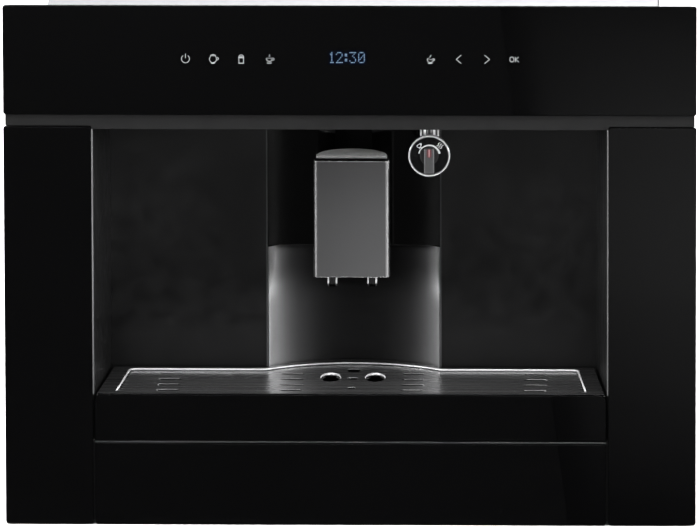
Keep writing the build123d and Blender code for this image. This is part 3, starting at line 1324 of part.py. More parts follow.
def rail_section(height, width, start, faces_in=True):
    """A slide member's section, placed from the frame's inner face and looking in or out."""
    section = channel(height, width, RAIL_SHEET)
    face = FRAME_HALF - FRAME_SHEET
    if faces_in:
        return Pos(face - start, RAIL_CENTRE) * mirror(section, Plane.YZ)
    return Pos(start, RAIL_CENTRE) * section


def rail(section):
    return carried_back(section, (RAIL_FRONT, RAIL_FRONT + RAIL_LENGTH))


def rail_outer_members():
    return both_sides(rail(rail_section(RAIL_OUTER_HEIGHT, RAIL_OUTER_WIDTH, 0.0)))


def rail_middle_members():
    return both_sides(rail(rail_section(RAIL_MIDDLE_HEIGHT, RAIL_MIDDLE_WIDTH, RAIL_MIDDLE_START)))


def rail_inner_members():
    return both_sides(rail(rail_section(RAIL_INNER_HEIGHT, RAIL_INNER_WIDTH, BODY_HALF, faces_in=False)))


def rail_glides():
    """The slippery pads that fill the raceways, fixed on the middle members."""
    face = FRAME_HALF - FRAME_SHEET - RAIL_MIDDLE_START
    outer_gap = (RAIL_MIDDLE_HEIGHT / 2, RAIL_OUTER_HEIGHT / 2 - RAIL_SHEET - GLIDE_FIT)
    inner_gap = (RAIL_INNER_HEIGHT / 2 + GLIDE_FIT, RAIL_MIDDLE_HEIGHT / 2 - RAIL_SHEET)
    outer_side = face - RAIL_SHEET - GLIDE_SET_IN
    pads = []
    for low, high in (outer_gap, inner_gap):
        for sign in (-1, 1):
            level = sorted((RAIL_CENTRE + sign * low, RAIL_CENTRE + sign * high))
            for front in (RAIL_FRONT, RAIL_FRONT + RAIL_LENGTH - GLIDE_LENGTH):
                across_pair = (outer_side - GLIDE_WIDTH, outer_side)
                pad = block(across_pair, (front, front + GLIDE_LENGTH), level)
                pads += [pad, opposite(pad)]
    return Compound(children=pads)


def mounting_frame():
    """The welded frame that is screwed into the niche: two angle brackets, a rear tie and its stop lip."""
    inner = FRAME_HALF - FRAME_SHEET
    run = (FRAME_FRONT, OVERALL_DEPTH)
    bracket = block((inner, FRAME_HALF), run, (0, FRAME_HEIGHT))
    bracket += block((FRAME_HALF - FRAME_FOOT_WIDTH, FRAME_HALF), run, (0, FRAME_FOOT))
    tie = block(centred(inner), (OVERALL_DEPTH - FRAME_TIE_DEPTH, OVERALL_DEPTH), (0, FRAME_FOOT))
    stop = block(centred(inner), (OVERALL_DEPTH - FRAME_SHEET, OVERALL_DEPTH), (0, FRAME_STOP_HEIGHT))
    for depth in FRAME_HOLE_Y:
        bracket -= rod((inner, depth, FRAME_HOLE_Z), (1, 0, 0), FRAME_HOLE_RADIUS, FRAME_SHEET)
    return bracket + opposite(bracket) + tie + stop


def save(node, shape):
    """Write one node, moved so that the origin is the centre of the footprint."""
    export_step(Pos(0, -OVERALL_DEPTH / 2, 0) * shape, f"parts/{node}.step")


def main():
    os.makedirs("parts", exist_ok=True)
    save("control_glass", control_glass())
    save("column_glass_right", column_glass())
    save("column_glass_left", opposite(column_glass()))
    save("lower_glass", lower_glass())
    save("front_carrier", front_carrier())
    save("touch_board", touch_board())
    save("display_module", display_module())
    save("bay_trims", bay_trims())
    save("floor_trim", floor_trim())
    save("bay_wall_right", bay_wall())
    save("bay_wall_left", opposite(bay_wall()))
    save("bay_back_panels", both_sides(bay_back()))
    save("bay_ceiling", bay_ceiling())
    save("bay_floor", bay_floor())
    save("upper_cover", upper_cover())
    save("splash_panel", splash_panel())
    save("guide_rods", guide_rods())
    save("dispenser_front", dispenser_front())
    save("dispenser_core", dispenser_core())
    save("dispenser_cap", dispenser_cap())
    save("coffee_spouts", coffee_spouts())
    save("dispenser_carriage", dispenser_carriage())
    save("selector_dial", selector_dial())
    save("selector_ring", selector_ring())
    save("valve_body", valve_body())
    save("steam_collar", steam_collar())
    save("selector_lever", selector_lever())
    save("tray_front_glass", tray_front_glass())
    save("drip_tray", drip_tray())
    save("cup_grid", cup_grid())
    save("grounds_container", grounds_container())
    save("base_tray", base_tray())
    save("side_panels", both_sides(side_panel()))
    save("panel_screws", panel_screws())
    save("rear_panel", rear_panel())
    save("top_panel", top_panel())
    save("bulkhead", bulkhead())
    save("brew_unit", brew_unit())
    save("bean_hopper", bean_hopper())
    save("hopper_lid", hopper_lid())
    save("ground_chute", ground_chute())
    save("chute_lid", chute_lid())
    save("grinder", grinder())
    save("grind_adjuster", grind_adjuster())
    save("water_tank", water_tank())
    save("tank_lid", tank_lid())
    save("tank_seat", tank_seat())
    save("boiler", boiler())
    save("pump", pump())
    save("pump_cradle", pump_cradle())
    save("steam_pipe", steam_pipe())
    save("control_board", control_board())
    save("mains_inlet", mains_inlet())
    save("switch_body", switch_body())
    save("switch_rocker", switch_rocker())
    save("rail_outer_members", rail_outer_members())
    save("rail_middle_members", rail_middle_members())
    save("rail_inner_members", rail_inner_members())
    save("rail_glides", rail_glides())
    save("mounting_frame", mounting_frame())


main()
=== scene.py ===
import math

import bmesh
import bpy
from bpy.props import FloatProperty, FloatVectorProperty, PointerProperty, StringProperty
from mathutils import Matrix, Quaternion, Vector
from mathutils.bvhtree import BVHTree


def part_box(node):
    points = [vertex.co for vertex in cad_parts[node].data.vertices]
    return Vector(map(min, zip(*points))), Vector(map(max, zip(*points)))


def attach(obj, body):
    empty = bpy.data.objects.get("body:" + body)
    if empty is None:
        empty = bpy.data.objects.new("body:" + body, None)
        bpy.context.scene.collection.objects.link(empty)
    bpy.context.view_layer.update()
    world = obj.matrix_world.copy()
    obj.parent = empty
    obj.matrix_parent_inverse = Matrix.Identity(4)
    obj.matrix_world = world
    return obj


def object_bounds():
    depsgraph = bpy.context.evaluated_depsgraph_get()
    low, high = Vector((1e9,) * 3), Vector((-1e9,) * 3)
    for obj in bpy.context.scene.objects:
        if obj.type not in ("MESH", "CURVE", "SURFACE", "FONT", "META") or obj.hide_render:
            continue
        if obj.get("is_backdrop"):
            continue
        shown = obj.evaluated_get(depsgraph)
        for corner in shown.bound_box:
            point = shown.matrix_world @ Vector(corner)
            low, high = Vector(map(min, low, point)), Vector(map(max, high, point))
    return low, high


bl_info = {
    "name": "Built-in coffee machine dressing",
    "version": (1, 0, 0),
    "blender": (4, 5, 0),
    "location": "3D View > Sidebar > Coffee machine",
    "description": "Finishes, printed marks, small fittings and studio for the built-in coffee machine",
    "category": "Object",
}

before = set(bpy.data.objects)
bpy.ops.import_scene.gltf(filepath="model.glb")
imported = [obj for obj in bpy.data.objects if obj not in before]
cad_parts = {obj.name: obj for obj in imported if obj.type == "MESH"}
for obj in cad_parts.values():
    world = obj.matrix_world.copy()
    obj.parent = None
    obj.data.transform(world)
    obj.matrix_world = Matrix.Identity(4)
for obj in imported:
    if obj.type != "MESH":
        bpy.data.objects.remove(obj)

GLASS_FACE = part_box("control_glass")[0].y
GLASS_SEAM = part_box("control_glass")[0].z
GRID_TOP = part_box("cup_grid")[1].z
CAP_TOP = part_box("dispenser_cap")[1].z
SPOUT_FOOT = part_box("coffee_spouts")[0].z
DISPENSER_LOW, DISPENSER_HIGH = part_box("dispenser_front")
DIAL_LOW, DIAL_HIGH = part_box("selector_dial")
DIAL_MIDDLE = (DIAL_LOW + DIAL_HIGH) / 2

# All sizes are in metres. Depths run inward from the glass face, and half widths from the middle plane.

# The cup grid's pressing: how far down it goes, its back edge with the bulge, and its sides, which close in.
GRID_PRESS = 0.002
PRESSED_TOP = GRID_TOP - GRID_PRESS
PRESS_BACK, PRESS_BULGE, BULGE_HALF = 0.1125, 0.141, 0.076
PRESS_SIDE, PRESS_SIDE_DEPTH, PRESS_TAPER = 0.2049, 0.007, 0.0861
PRESS_CORNER = 0.006
LIP_START, LIP_MIDDLE = 0.016, 0.06

# The slots punched in it: their columns and rows, and each slot's half length and end radius.
SLOT_COLUMNS = (-0.1585, -0.0528, 0.0528, 0.1585)
SLOT_ROWS, SLOT_FIRST, SLOT_PITCH = 4, 0.029, 0.023
SLOT_HALF, SLOT_END = 0.01025, 0.0022

# The larger holes in it: (across, depth), half width, half length and the radius of the lip round it.
CATCH_LIP, DRAIN_LIP = 0.0013, 0.00013
TRAY_HOLES = (
    ((-0.0193, 0.0825), 0.0085, 0.0160, CATCH_LIP),
    ((0.0193, 0.0825), 0.0085, 0.0160, CATCH_LIP),
    ((0.0, 0.113), 0.0062, 0.0062, DRAIN_LIP),
    ((0.0, 0.079), 0.0047, 0.0047, DRAIN_LIP),
    ((0.0, 0.039), 0.0036, 0.0036, DRAIN_LIP),
)

# The splash panel's painted reflection from left to right, and how its painted light at the sides brightens
# with height and toward its edges.
SPLASH_TONES = (
    (-0.0765, 1.6), (-0.0738, 1.2), (-0.0725, 0.80), (-0.0703, 0.66), (-0.065, 0.31), (-0.0598, 0.145),
    (-0.0546, 0.084), (-0.049, 0.054), (-0.040, 0.044), (-0.025, 0.045), (0.0, 0.039), (0.015, 0.036),
    (0.025, 0.030), (0.036, 0.022), (0.046, 0.023), (0.0515, 0.035), (0.0567, 0.060), (0.062, 0.125),
    (0.067, 0.29), (0.0715, 0.56), (0.0765, 0.95),
)
SPLASH_RISE = ((0.165, 0.0), (0.172, 0.08), (0.178, 0.28), (0.185, 0.62), (0.195, 1.0), (0.210, 1.0))
SPLASH_SIDES = (
    (0.0, 0.25), (0.030, 0.27), (0.042, 0.34), (0.048, 0.44), (0.052, 0.54), (0.0555, 0.72), (0.059, 0.95),
    (0.0625, 1.35), (0.0655, 2.1), (0.068, 3.2), (0.071, 5.0), (0.0765, 7.0),
)
STEEL_LIMIT = 2.9

# Painted light and shade: on the cover from the middle plane outward, on the bay by height, on the dispenser
# above its foot, with a painted highlight along its top, and from left to right, and on the grid's front edge
# by depth.
COVER_TONES = ((0.050, 1.0), (0.060, 3.5), (0.064, 6.0), (0.0685, 12.0), (0.075, 19.0))
BAY_TONES = ((0.11, 0.34), (0.16, 0.45), (0.22, 0.74), (0.30, 0.86))
DISPENSER_TONES = ((0.0, 1.62), (0.049, 1.38), (0.077, 1.18), (0.1008, 1.0), (0.1012, 1.7), (0.102, 1.9))
DISPENSER_SIDES = ((-0.033, 0.85), (0.0, 1.07), (0.033, 1.2))
GRID_EDGE_TONES = ((0.0045, 0.15), (0.0062, 0.25), (0.0075, 1.0), (0.0080, 1.0))

# Painted reflections on the chrome and painted highlights on the lever: bright and dark bands by distance
# from a spout's axis or from the dial's.
SPOUT_X = 0.0172
SPOUT_BANDS = ((0.0, 0.02), (0.0027, 0.03), (0.0031, 1.0), (0.0039, 1.0), (0.0042, 0.5), (0.0046, 0.4))
COLLAR_BANDS = (
    (0.0, 0.05), (0.0009, 0.06), (0.0013, 0.30), (0.0019, 0.28), (0.0023, 0.05), (0.0028, 0.10),
    (0.0033, 1.0), (0.0048, 1.0), (0.0053, 0.06), (0.0066, 0.06), (0.0071, 0.8), (0.0083, 0.9),
)
RING_BANDS = ((0.0155, 0.12), (0.0166, 0.15), (0.0172, 1.0), (0.0182, 1.0))
LEVER_BANDS = (
    (0.0, 0.95), (0.0032, 0.95), (0.0036, 2.1), (0.0041, 2.1), (0.0043, 0.25), (0.0078, 0.3), (0.009, 0.6),
)

# A lit window's own colour, and the painted shade that darkens the top panel against the other sheet.
LIT_WINDOW = (0.0008, 0.0008, 0.0009)
TOP_PAINTED_SHADE = 0.38

# The shader's own specular level, and how much further a shifted noise moves in depth than sideways.
PLAIN_SPECULAR = 0.5
NOISE_SPREAD = 7.31

# The graded card: how far it stands from the glass and, in the picture of it that the glass mirrors, its
# edges, the lean of its left edge, and its light by height and by distance from that edge.
CARD_REACH = 1.0
CARD_LEFT, CARD_RIGHT, CARD_BOTTOM, CARD_TOP = 0.141, 0.75, -0.05, 0.60
CARD_LEAN = 0.13
CARD_RISE = (
    (-0.05, 0.0), (0.014, 0.10), (0.035, 0.17), (0.08, 0.40), (0.12, 0.58), (0.19, 1.04), (0.27, 1.28),
    (0.34, 1.0), (0.375, 0.85), (0.428, 0.42), (0.455, 0.26), (0.52, 0.1),
)
CARD_SPREAD = ((-0.03, 0.0), (-0.012, 0.1), (0.006, 0.5), (0.045, 0.72), (0.1, 0.92), (0.15, 1.0))

# The room's light against the share of the way up from straight below to straight above.
ROOM_LIGHT = ((0.40, (0.030, 0.030, 0.030)), (0.62, (0.42, 0.42, 0.43)))


# ---------------------------------------------------------------- settings


def colour_property(label, text, default):
    return FloatVectorProperty(
        name=label, description=text, subtype="COLOR", size=3, min=0.0, max=1.0, default=default
    )


def length_property(label, text, default):
    return FloatProperty(
        name=label, description=text, default=default, min=0.0, subtype="DISTANCE", unit="LENGTH"
    )


def angle_property(label, text, degrees):
    return FloatProperty(name=label, description=text, subtype="ANGLE", default=math.radians(degrees))


def power_property(label, text, default):
    return FloatProperty(name=label, description=text, default=default, min=0.0)


class FinishSettings(bpy.types.PropertyGroup):
    glass: colour_property("Front glass", "Back-painted glass of the front", (0.00065, 0.00065, 0.0007))
    carrier: colour_property("Front carrier", "Moulded frame behind the glass", (0.0026, 0.0026, 0.0027))
    bay: colour_property("Bay plastic", "Walls and back of the cup bay", (0.0056, 0.0056, 0.0058))
    cover: colour_property("Upper cover", "Gloss cover behind the dispenser", (0.0005, 0.0005, 0.0005))
    trim: colour_property("Trim", "Thin anodised lines round the bay", (0.50, 0.505, 0.51))
    splash: colour_property("Splash panel", "Satin steel of the concave panel", (0.34, 0.34, 0.345))
    grid: colour_property("Cup grid", "Brushed steel of the pressed grid", (0.38, 0.38, 0.385))
    dispenser: colour_property("Dispenser", "Fine satin metal of the dispenser's front", (0.50, 0.50, 0.505))
    cap: colour_property("Dispenser cap", "Light grey cap", (0.95, 0.95, 0.955))
    sheet: colour_property("Galvanised sheet", "Housing panels", (0.22, 0.224, 0.23))
    plated: colour_property("Plated steel", "Slides, frame and screws", (0.36, 0.365, 0.38))


class PrintSettings(bpy.types.PropertyGroup):
    icon_height: length_property("Icon height", "Height of the touch symbols' centres above the foot", 0.4091)
    icon_size: length_property("Icon size", "Half the size of a touch symbol", 0.0038)
    line: length_property("Line width", "Width of the symbols' strokes", 0.00038)
    film: length_property("Film", "Thickness of the printed film", 0.00001)
    clock: StringProperty(name="Clock", description="What the clock shows", default="12:30")
    clock_glow: power_property("Clock glow", "Strength of the lit digits", 1.0)
    ink: colour_property("Ink", "Light of the lit touch symbols", (0.80, 0.82, 0.84))


class StageSettings(bpy.types.PropertyGroup):
    distance: length_property("Camera distance", "From the front's middle to the camera", 12.0)
    elevation: angle_property("Elevation", "Camera above the horizon", 11.3)
    azimuth: angle_property("Azimuth", "Camera round the machine, to the right", 1.6)
    roll: angle_property("Roll", "Levels the front's long edges in the picture", 0.15)
    aim: length_property("Aim", "How far above the front's middle the camera looks", 0.0017)
    framed_width: length_property("Framed width", "Width that the picture takes in at the front", 0.6015)
    key: power_property("Overhead light", "Power of the large softbox", 520.0)
    side: power_property("Side lights", "Power of each tall softbox", 70.0)
    rim: power_property("Rim lights", "Power of each tall strip that only the gloss sees", 140.0)
    front: power_property("Front strip", "Power of the low strip that only the gloss sees", 8.0)
    glow: power_property("Graded card", "Light of the card that the glass mirrors on the right", 0.25)


# ---------------------------------------------------------------- finishes


def add_node(tree, kind, inputs=(), **settings):
    """A node with these settings, each input linked to a socket or given its value."""
    made = tree.nodes.new(kind)
    for name, value in settings.items():
        setattr(made, name, value)
    for name, value in dict(inputs).items():
        if isinstance(value, bpy.types.NodeSocket):
            tree.links.new(value, made.inputs[name])
        else:
            made.inputs[name].default_value = value
    return made


class Finish:
    """A procedural finish: one Principled shader, with textures that vary it over the surface."""

    def __init__(self, name, colour, roughness, metallic=0.0):
        self.material = bpy.data.materials.new(name)
        self.material.use_nodes = True
        self.tree = self.material.node_tree
        self.shader = self.tree.nodes["Principled BSDF"]
        self.colour = tuple(colour)
        self.shader.inputs["Base Color"].default_value = (*self.colour, 1.0)
        self.shader.inputs["Roughness"].default_value = roughness
        self.shader.inputs["Metallic"].default_value = metallic
        self.place = self.node("ShaderNodeTexCoord").outputs["Object"]
        self.normal = None
        self.factor = None

    def set(self, **sockets):
        """Constant values straight on the shader's sockets, named with underscores for spaces."""
        for name, value in sockets.items():
            self.shader.inputs[name.replace("_", " ")].default_value = value
        return self

    def node(self, kind, inputs=(), **settings):
        return add_node(self.tree, kind, inputs, **settings)

    def feed(self, socket, source):
        """Link what varies over the surface to one of the shader's sockets."""
        self.tree.links.new(source, self.shader.inputs[socket])
        return self

    def maths(self, operation, *terms):
        """The result of an operation on sockets and numbers."""
        return self.node("ShaderNodeMath", dict(enumerate(terms)), operation=operation).outputs[0]

    def noise(self, scale, stretch=(1.0, 1.0, 1.0), detail=3.0, shift=0.0):
        """Noise with the given scale per metre, drawn out along the axes where stretch is under 1."""
        placed = self.node("ShaderNodeMapping", {
            "Vector": self.place, "Scale": stretch, "Location": (shift, shift * NOISE_SPREAD, -shift),
        })
        inputs = {"Vector": placed.outputs[0], "Scale": scale, "Detail": detail}
        return self.node("ShaderNodeTexNoise", inputs).outputs["Fac"]

    def cells(self, scale, output="Color", stretch=(1.0, 1.0, 1.0), randomness=1.0):
        """Cells with the given scale per metre: their colour, or the distance from each cell's middle."""
        placed = self.node("ShaderNodeMapping", {"Vector": self.place, "Scale": stretch})
        inputs = {"Vector": placed.outputs[0], "Scale": scale, "Randomness": randomness}
        return self.node("ShaderNodeTexVoronoi", inputs).outputs[output]

    def between(self, source, low, high, to_low=0.0, to_high=1.0):
        """The source's low..high mapped to to_low..to_high and held at the ends."""
        return self.node("ShaderNodeMapRange", {
            "Value": source, "From Min": low, "From Max": high, "To Min": to_low, "To Max": to_high,
        }).outputs[0]

    def rough(self, source, low, high, window=(0.3, 0.7)):
        return self.feed("Roughness", self.between(source, *window, low, high))

    def along(self, axis, start=0.0):
        """Where a point lies along an axis, in metres from the start."""
        apart = self.node("ShaderNodeSeparateXYZ", {0: self.place})
        return self.maths("SUBTRACT", apart.outputs[axis], start)

    def sided(self, middle=0.0):
        """How far a point lies to either side of an upright plane."""
        return self.maths("ABSOLUTE", self.along("X", middle))

    def beside_dial(self):
        return self.sided(DIAL_MIDDLE.x)

    def beside_spout(self):
        """How far a point lies beside the nearer spout's axis."""
        return self.maths("ABSOLUTE", self.maths("SUBTRACT", self.sided(), SPOUT_X))

    def round_dial(self):
        """Distance from the dial's axis."""
        level = self.node("ShaderNodeVectorMath", {0: self.place, 1: (1.0, 0.0, 1.0)}, operation="MULTIPLY")
        ends = {0: level.outputs[0], 1: (DIAL_MIDDLE.x, 0.0, DIAL_MIDDLE.z)}
        return self.node("ShaderNodeVectorMath", ends, operation="DISTANCE").outputs["Value"]

    def curve(self, source, stops, smooth=True):
        """The source run through (value, result) stops, rounded off unless the bands have to stay crisp."""
        first, last = stops[0][0], stops[-1][0]
        peak = max(result for _, result in stops)
        ramp = self.node("ShaderNodeValToRGB", {"Fac": self.between(source, first, last)})
        ramp.color_ramp.interpolation = "B_SPLINE" if smooth else "LINEAR"
        held = ramp.color_ramp.elements
        for value, _ in stops[1:-1]:
            held.new((value - first) / (last - first))
        for stop, (_, result) in zip(held, stops):
            stop.color = (result / peak, result / peak, result / peak, 1.0)
        return self.maths("MULTIPLY", ramp.outputs["Color"], peak)

    def vary(self, factor):
        """Colour multiplied by the factor, on top of any earlier one."""
        if self.factor is not None:
            factor = self.maths("MULTIPLY", self.factor, factor)
        self.factor = factor
        tinted = self.node("ShaderNodeVectorMath", {0: self.colour, "Scale": factor}, operation="SCALE")
        return self.feed("Base Color", tinted.outputs[0])

    def shade(self, source, dark=0.85, light=1.15, window=(0.3, 0.7)):
        """Colour that runs from darker to lighter than the finish's own with the source."""
        return self.vary(self.between(source, *window, dark, light))

    def gleam(self, factor):
        """Plain reflection weakened or strengthened by the factor."""
        return self.feed("Specular IOR Level", self.maths("MULTIPLY", factor, PLAIN_SPECULAR))

    def relief(self, source, depth, strength):
        """Bump of that depth in metres, laid over any earlier one."""
        inputs = {"Height": source, "Distance": depth, "Strength": strength}
        if self.normal is not None:
            inputs["Normal"] = self.normal
        self.normal = self.node("ShaderNodeBump", inputs).outputs["Normal"]
        return self.feed("Normal", self.normal)

    def soft_edges(self, radius, wear=0.0):
        """Edges that catch the light as if broken by that radius, and are rubbed lighter by the wear."""
        self.normal = self.node("ShaderNodeBevel", {"Radius": radius}, samples=4).outputs["Normal"]
        if wear:
            flat = self.node("ShaderNodeNewGeometry").outputs["Normal"]
            turned = self.node("ShaderNodeVectorMath", {0: self.normal, 1: flat}, operation="DOT_PRODUCT")
            rubbed = self.between(turned.outputs["Value"], 0.985, 0.86)
            patches = self.between(self.noise(90.0, shift=6.0), 0.42, 0.62)
            self.vary(self.between(self.maths("MULTIPLY", rubbed, patches), 0.0, 1.0, 1.0, 1.0 + wear))
        return self.feed("Normal", self.normal)


def put(made, *nodes):
    """Give the finish to every material slot of those nodes."""
    for name in nodes:
        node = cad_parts[name]
        if not node.material_slots:
            node.data.materials.append(made.material)
        for held in node.material_slots:
            held.material = made.material


def black_glass(name, colour):
    """Back-painted glass: deep gloss with faint wiping marks, its ground edges blackened and dull."""
    made = Finish(name, colour, 0.03)
    made.shade(made.noise(4.0, detail=2.0), 0.9, 1.12)
    wiped = made.between(made.noise(9.0, (1.0, 1.0, 0.35), shift=2.0), 0.3, 0.7, 0.012, 0.045)
    ground = made.between(made.along("Y", GLASS_FACE), 0.000002, 0.00001)
    made.feed("Roughness", made.maths("MULTIPLY_ADD", ground, 0.6, wiped))
    made.gleam(made.between(ground, 0.0, 1.0, 1.0, 0.0))
    return made.relief(made.noise(30.0, detail=1.0), 0.00001, 0.2)


def moulded(name, colour, roughness, grain=1500.0, depth=0.00006, spread=0.07, wear=0.5):
    """Injection-moulded plastic with an eroded grain."""
    made = Finish(name, colour, roughness)
    made.soft_edges(0.0004, wear)
    made.shade(made.noise(18.0, detail=2.0), 0.9, 1.12)
    made.rough(made.noise(60.0, shift=1.0), roughness - spread, roughness + spread)
    return made.relief(made.noise(grain, detail=2.0, shift=3.0), depth, 0.6)


def polished_plastic(name, colour, roughness=0.06, wear=0.3):
    """Gloss plastic with a faint moulded waviness."""
    made = Finish(name, colour, roughness)
    made.soft_edges(0.0003, wear)
    made.shade(made.noise(12.0), 0.92, 1.1)
    made.rough(made.noise(40.0, (1.0, 1.0, 0.3)), roughness * 0.6, roughness * 1.6)
    return made.relief(made.noise(25.0, detail=1.0), 0.00002, 0.2)


def brushed(name, colour, roughness, along, tone=0.07, edge=0.0003):
    """Metal brushed along one axis: drawn-out streaks in tone, roughness and relief."""
    lines = 2600.0
    stretch = [1.0, 1.0, 1.0]
    stretch["XYZ".index(along)] = 0.008
    made = Finish(name, colour, roughness, metallic=1.0)
    made.soft_edges(edge, 0.2)
    fine = made.noise(lines, stretch, detail=4.0)
    broad = made.noise(lines / 6.0, stretch, detail=3.0, shift=5.0)
    made.shade(fine, 1.0 - tone, 1.0 + tone, (0.35, 0.65))
    made.shade(broad, 1.0 - tone / 2, 1.0 + tone / 2)
    made.rough(broad, roughness * 0.92, roughness * 1.1)
    return made.relief(fine, 0.000006, 0.4)


def bay_trim(name, colour):
    """Anodised edging with painted shade: bright round the mouth, darker round the panels at the back and
    toward the tray.
    """
    made = brushed(name, colour, 0.42, "Z", edge=0.0001)
    made.vary(made.between(made.sided(), 0.1, 0.2, 0.28, 0.62))
    return made.vary(made.between(made.along("Z"), 0.11, 0.20, 0.6, 1.0))


def seam_line(name, colour):
    """Anodised edging with painted shade that darkens all but its front face to near black."""
    made = brushed(name, colour, 0.3, "X", edge=0.0001)
    return made.vary(made.between(made.along("Y", GLASS_FACE), 0.0001, 0.0003, 0.36, 0.01))


def chromed(name, colour=(0.90, 0.905, 0.91), metallic=1.0):
    """Plated mirror finish with a faint haze."""
    made = Finish(name, colour, 0.07, metallic)
    made.shade(made.noise(50.0), 0.94, 1.05)
    made.rough(made.noise(200.0, shift=1.0), 0.04, 0.11)
    return made.relief(made.noise(300.0, detail=1.0), 0.000004, 0.4)


def banded(name, colour, source, stops, metallic):
    """Chrome with painted reflections: bright and dark bands side by side."""
    made = chromed(name, colour, metallic)
    return made.vary(made.curve(source(made), stops, smooth=False))


def spout_chrome(name, colour):
    """Painted reflections bright along both sides of each spout and dark between them, and painted shade
    round the mouth.
    """
    made = banded(name, colour, Finish.beside_spout, SPOUT_BANDS, 0.5)
    made.vary(made.between(made.along("Z", SPOUT_FOOT), 0.0025, 0.0040, 0.05, 1.0))
    return made.gleam(made.curve(made.beside_spout(), SPOUT_BANDS, smooth=False))


def splash_steel(name, colour):
    """Satin steel with painted reflection: darker toward its middle, paler at both sides."""
    made = brushed(name, colour, 0.40, "X", tone=0.05)
    rise = made.curve(made.along("Z"), SPLASH_RISE)
    sides = made.curve(made.sided(), SPLASH_SIDES)
    upper = made.node("ShaderNodeMix", {"Factor": rise, "A": 1.0, "B": sides}).outputs[0]
    tone = made.maths("MULTIPLY", made.curve(made.along("X"), SPLASH_TONES), upper)
    return made.vary(made.maths("MINIMUM", tone, STEEL_LIMIT))


def cover_gloss(name, colour):
    """Gloss black with painted light that turns it paler in a narrow band at both sides."""
    made = polished_plastic(name, colour)
    return made.vary(made.curve(made.sided(), COVER_TONES))


def bay_satin(name, colour):
    """Fine satin plastic with painted shade that darkens it toward the tray and weakens its gloss alike."""
    made = moulded(name, colour, 0.36, 2200.0, 0.00001, wear=0.3)
    # Painted shade: darker and less glossy lower in the bay.
    painted_shade = made.curve(made.along("Z"), BAY_TONES)
    return made.vary(painted_shade).gleam(painted_shade)


def grid_steel(name, colour):
    """Brushed steel with painted shade on its front edge and in the cut walls of the slots and holes, and
    darker on the flat border.
    """
    made = brushed(name, colour, 0.27, "X", edge=0.0002)
    made.vary(made.curve(made.along("Y", GLASS_FACE), GRID_EDGE_TONES))
    # Painted shade: the cut walls of slots and holes darkened almost to black, except near the front.
    walls = made.between(made.along("Z", PRESSED_TOP), -0.0002, -0.00003, 0.002, 1.0)
    front = made.between(made.along("Y", GLASS_FACE), 0.012, 0.014, 1.0, 0.0)
    made.vary(made.maths("MAXIMUM", walls, front))
    return made.vary(made.between(made.along("Z", PRESSED_TOP), 0.00005, 0.00025, 1.0, 0.55))


def dispenser_metal(name, colour):
    """Very fine satin metal with painted light, a little paler toward its foot and its right, a painted
    highlight along its top edge, and polished side edges brightened by a painted highlight.
    """
    made = Finish(name, colour, 0.23, metallic=1.0)
    made.soft_edges(0.0005)
    made.shade(made.noise(3800.0, (1.0, 1.0, 0.008), detail=4.0), 0.985, 1.015)
    grain = made.between(made.noise(900.0), 0.3, 0.7, 0.222, 0.238)
    edge = made.between(made.sided(), DISPENSER_HIGH.x - 0.0014, DISPENSER_HIGH.x - 0.0008)
    made.feed("Roughness", made.maths("MULTIPLY_ADD", edge, -0.12, grain))
    made.vary(made.curve(made.along("Z", DISPENSER_LOW.z), DISPENSER_TONES, smooth=False))
    # Painted highlight: the side edges' colour doubled.
    made.vary(made.between(edge, 0.0, 1.0, 1.0, 2.0))
    return made.vary(made.curve(made.along("X"), DISPENSER_SIDES))


def lever_grey(name, colour):
    """The lever in satin grey with painted highlights along its sides; the boss that it stands on stays dark.
    """
    made = moulded(name, colour, 0.3)
    return made.vary(made.curve(made.beside_dial(), LEVER_BANDS, smooth=False))


def cap_plastic(name, colour):
    """Light satin plastic with painted shade that keeps its thin front edge greyer than its top."""
    made = moulded(name, colour, 0.35)
    return made.vary(made.between(made.along("Z", CAP_TOP), -0.00025, -0.00005, 0.24, 1.0))


def satin_lip(name, colour):
    """Rolled edge in pale satin metal with faint drawing lines."""
    made = Finish(name, colour, 0.35, metallic=0.35)
    made.shade(made.noise(80.0), 0.93, 1.05)
    made.rough(made.noise(260.0, shift=2.0), 0.30, 0.42)
    return made.relief(made.noise(500.0, detail=1.0), 0.000002, 0.4)


def plated(name, colour):
    """Bright zinc plating with soft clouds and rolling lines."""
    made = Finish(name, colour, 0.3, metallic=1.0)
    made.soft_edges(0.0003)
    made.shade(made.noise(35.0, (1.0, 0.25, 1.0)), 0.93, 1.05)
    made.rough(made.noise(120.0, (1.0, 0.15, 1.0), shift=4.0), 0.276, 0.33)
    return made.relief(made.noise(900.0, (1.0, 0.05, 1.0)), 0.00002, 0.4)


def galvanised(name, colour, roughness=0.46):
    """Hot-dip galvanised sheet: spangle in facets of slightly different tone and gloss."""
    made = Finish(name, colour, roughness, metallic=0.85)
    made.soft_edges(0.00015)
    spangle = made.cells(210.0, stretch=(1.0, 1.0, 0.7))
    grey = made.node("ShaderNodeSeparateColor", {"Color": spangle}).outputs["Red"]
    made.shade(grey, 0.93, 1.05, (0.0, 1.0))
    made.rough(grey, roughness - 0.03, roughness + 0.03, (0.0, 1.0))
    return made.relief(made.noise(700.0, detail=4.0), 0.00002, 0.35)


def clear_plastic(name, colour, roughness=0.12, clearness=0.85):
    """Tinted see-through plastic with a faint moulded waviness."""
    made = Finish(name, colour, roughness).set(Transmission_Weight=clearness, IOR=1.49)
    made.shade(made.noise(10.0), 0.92, 1.06)
    made.rough(made.noise(70.0, shift=2.0), roughness * 0.6, roughness * 1.5)
    return made.relief(made.noise(45.0, detail=1.0), 0.00008, 0.3)


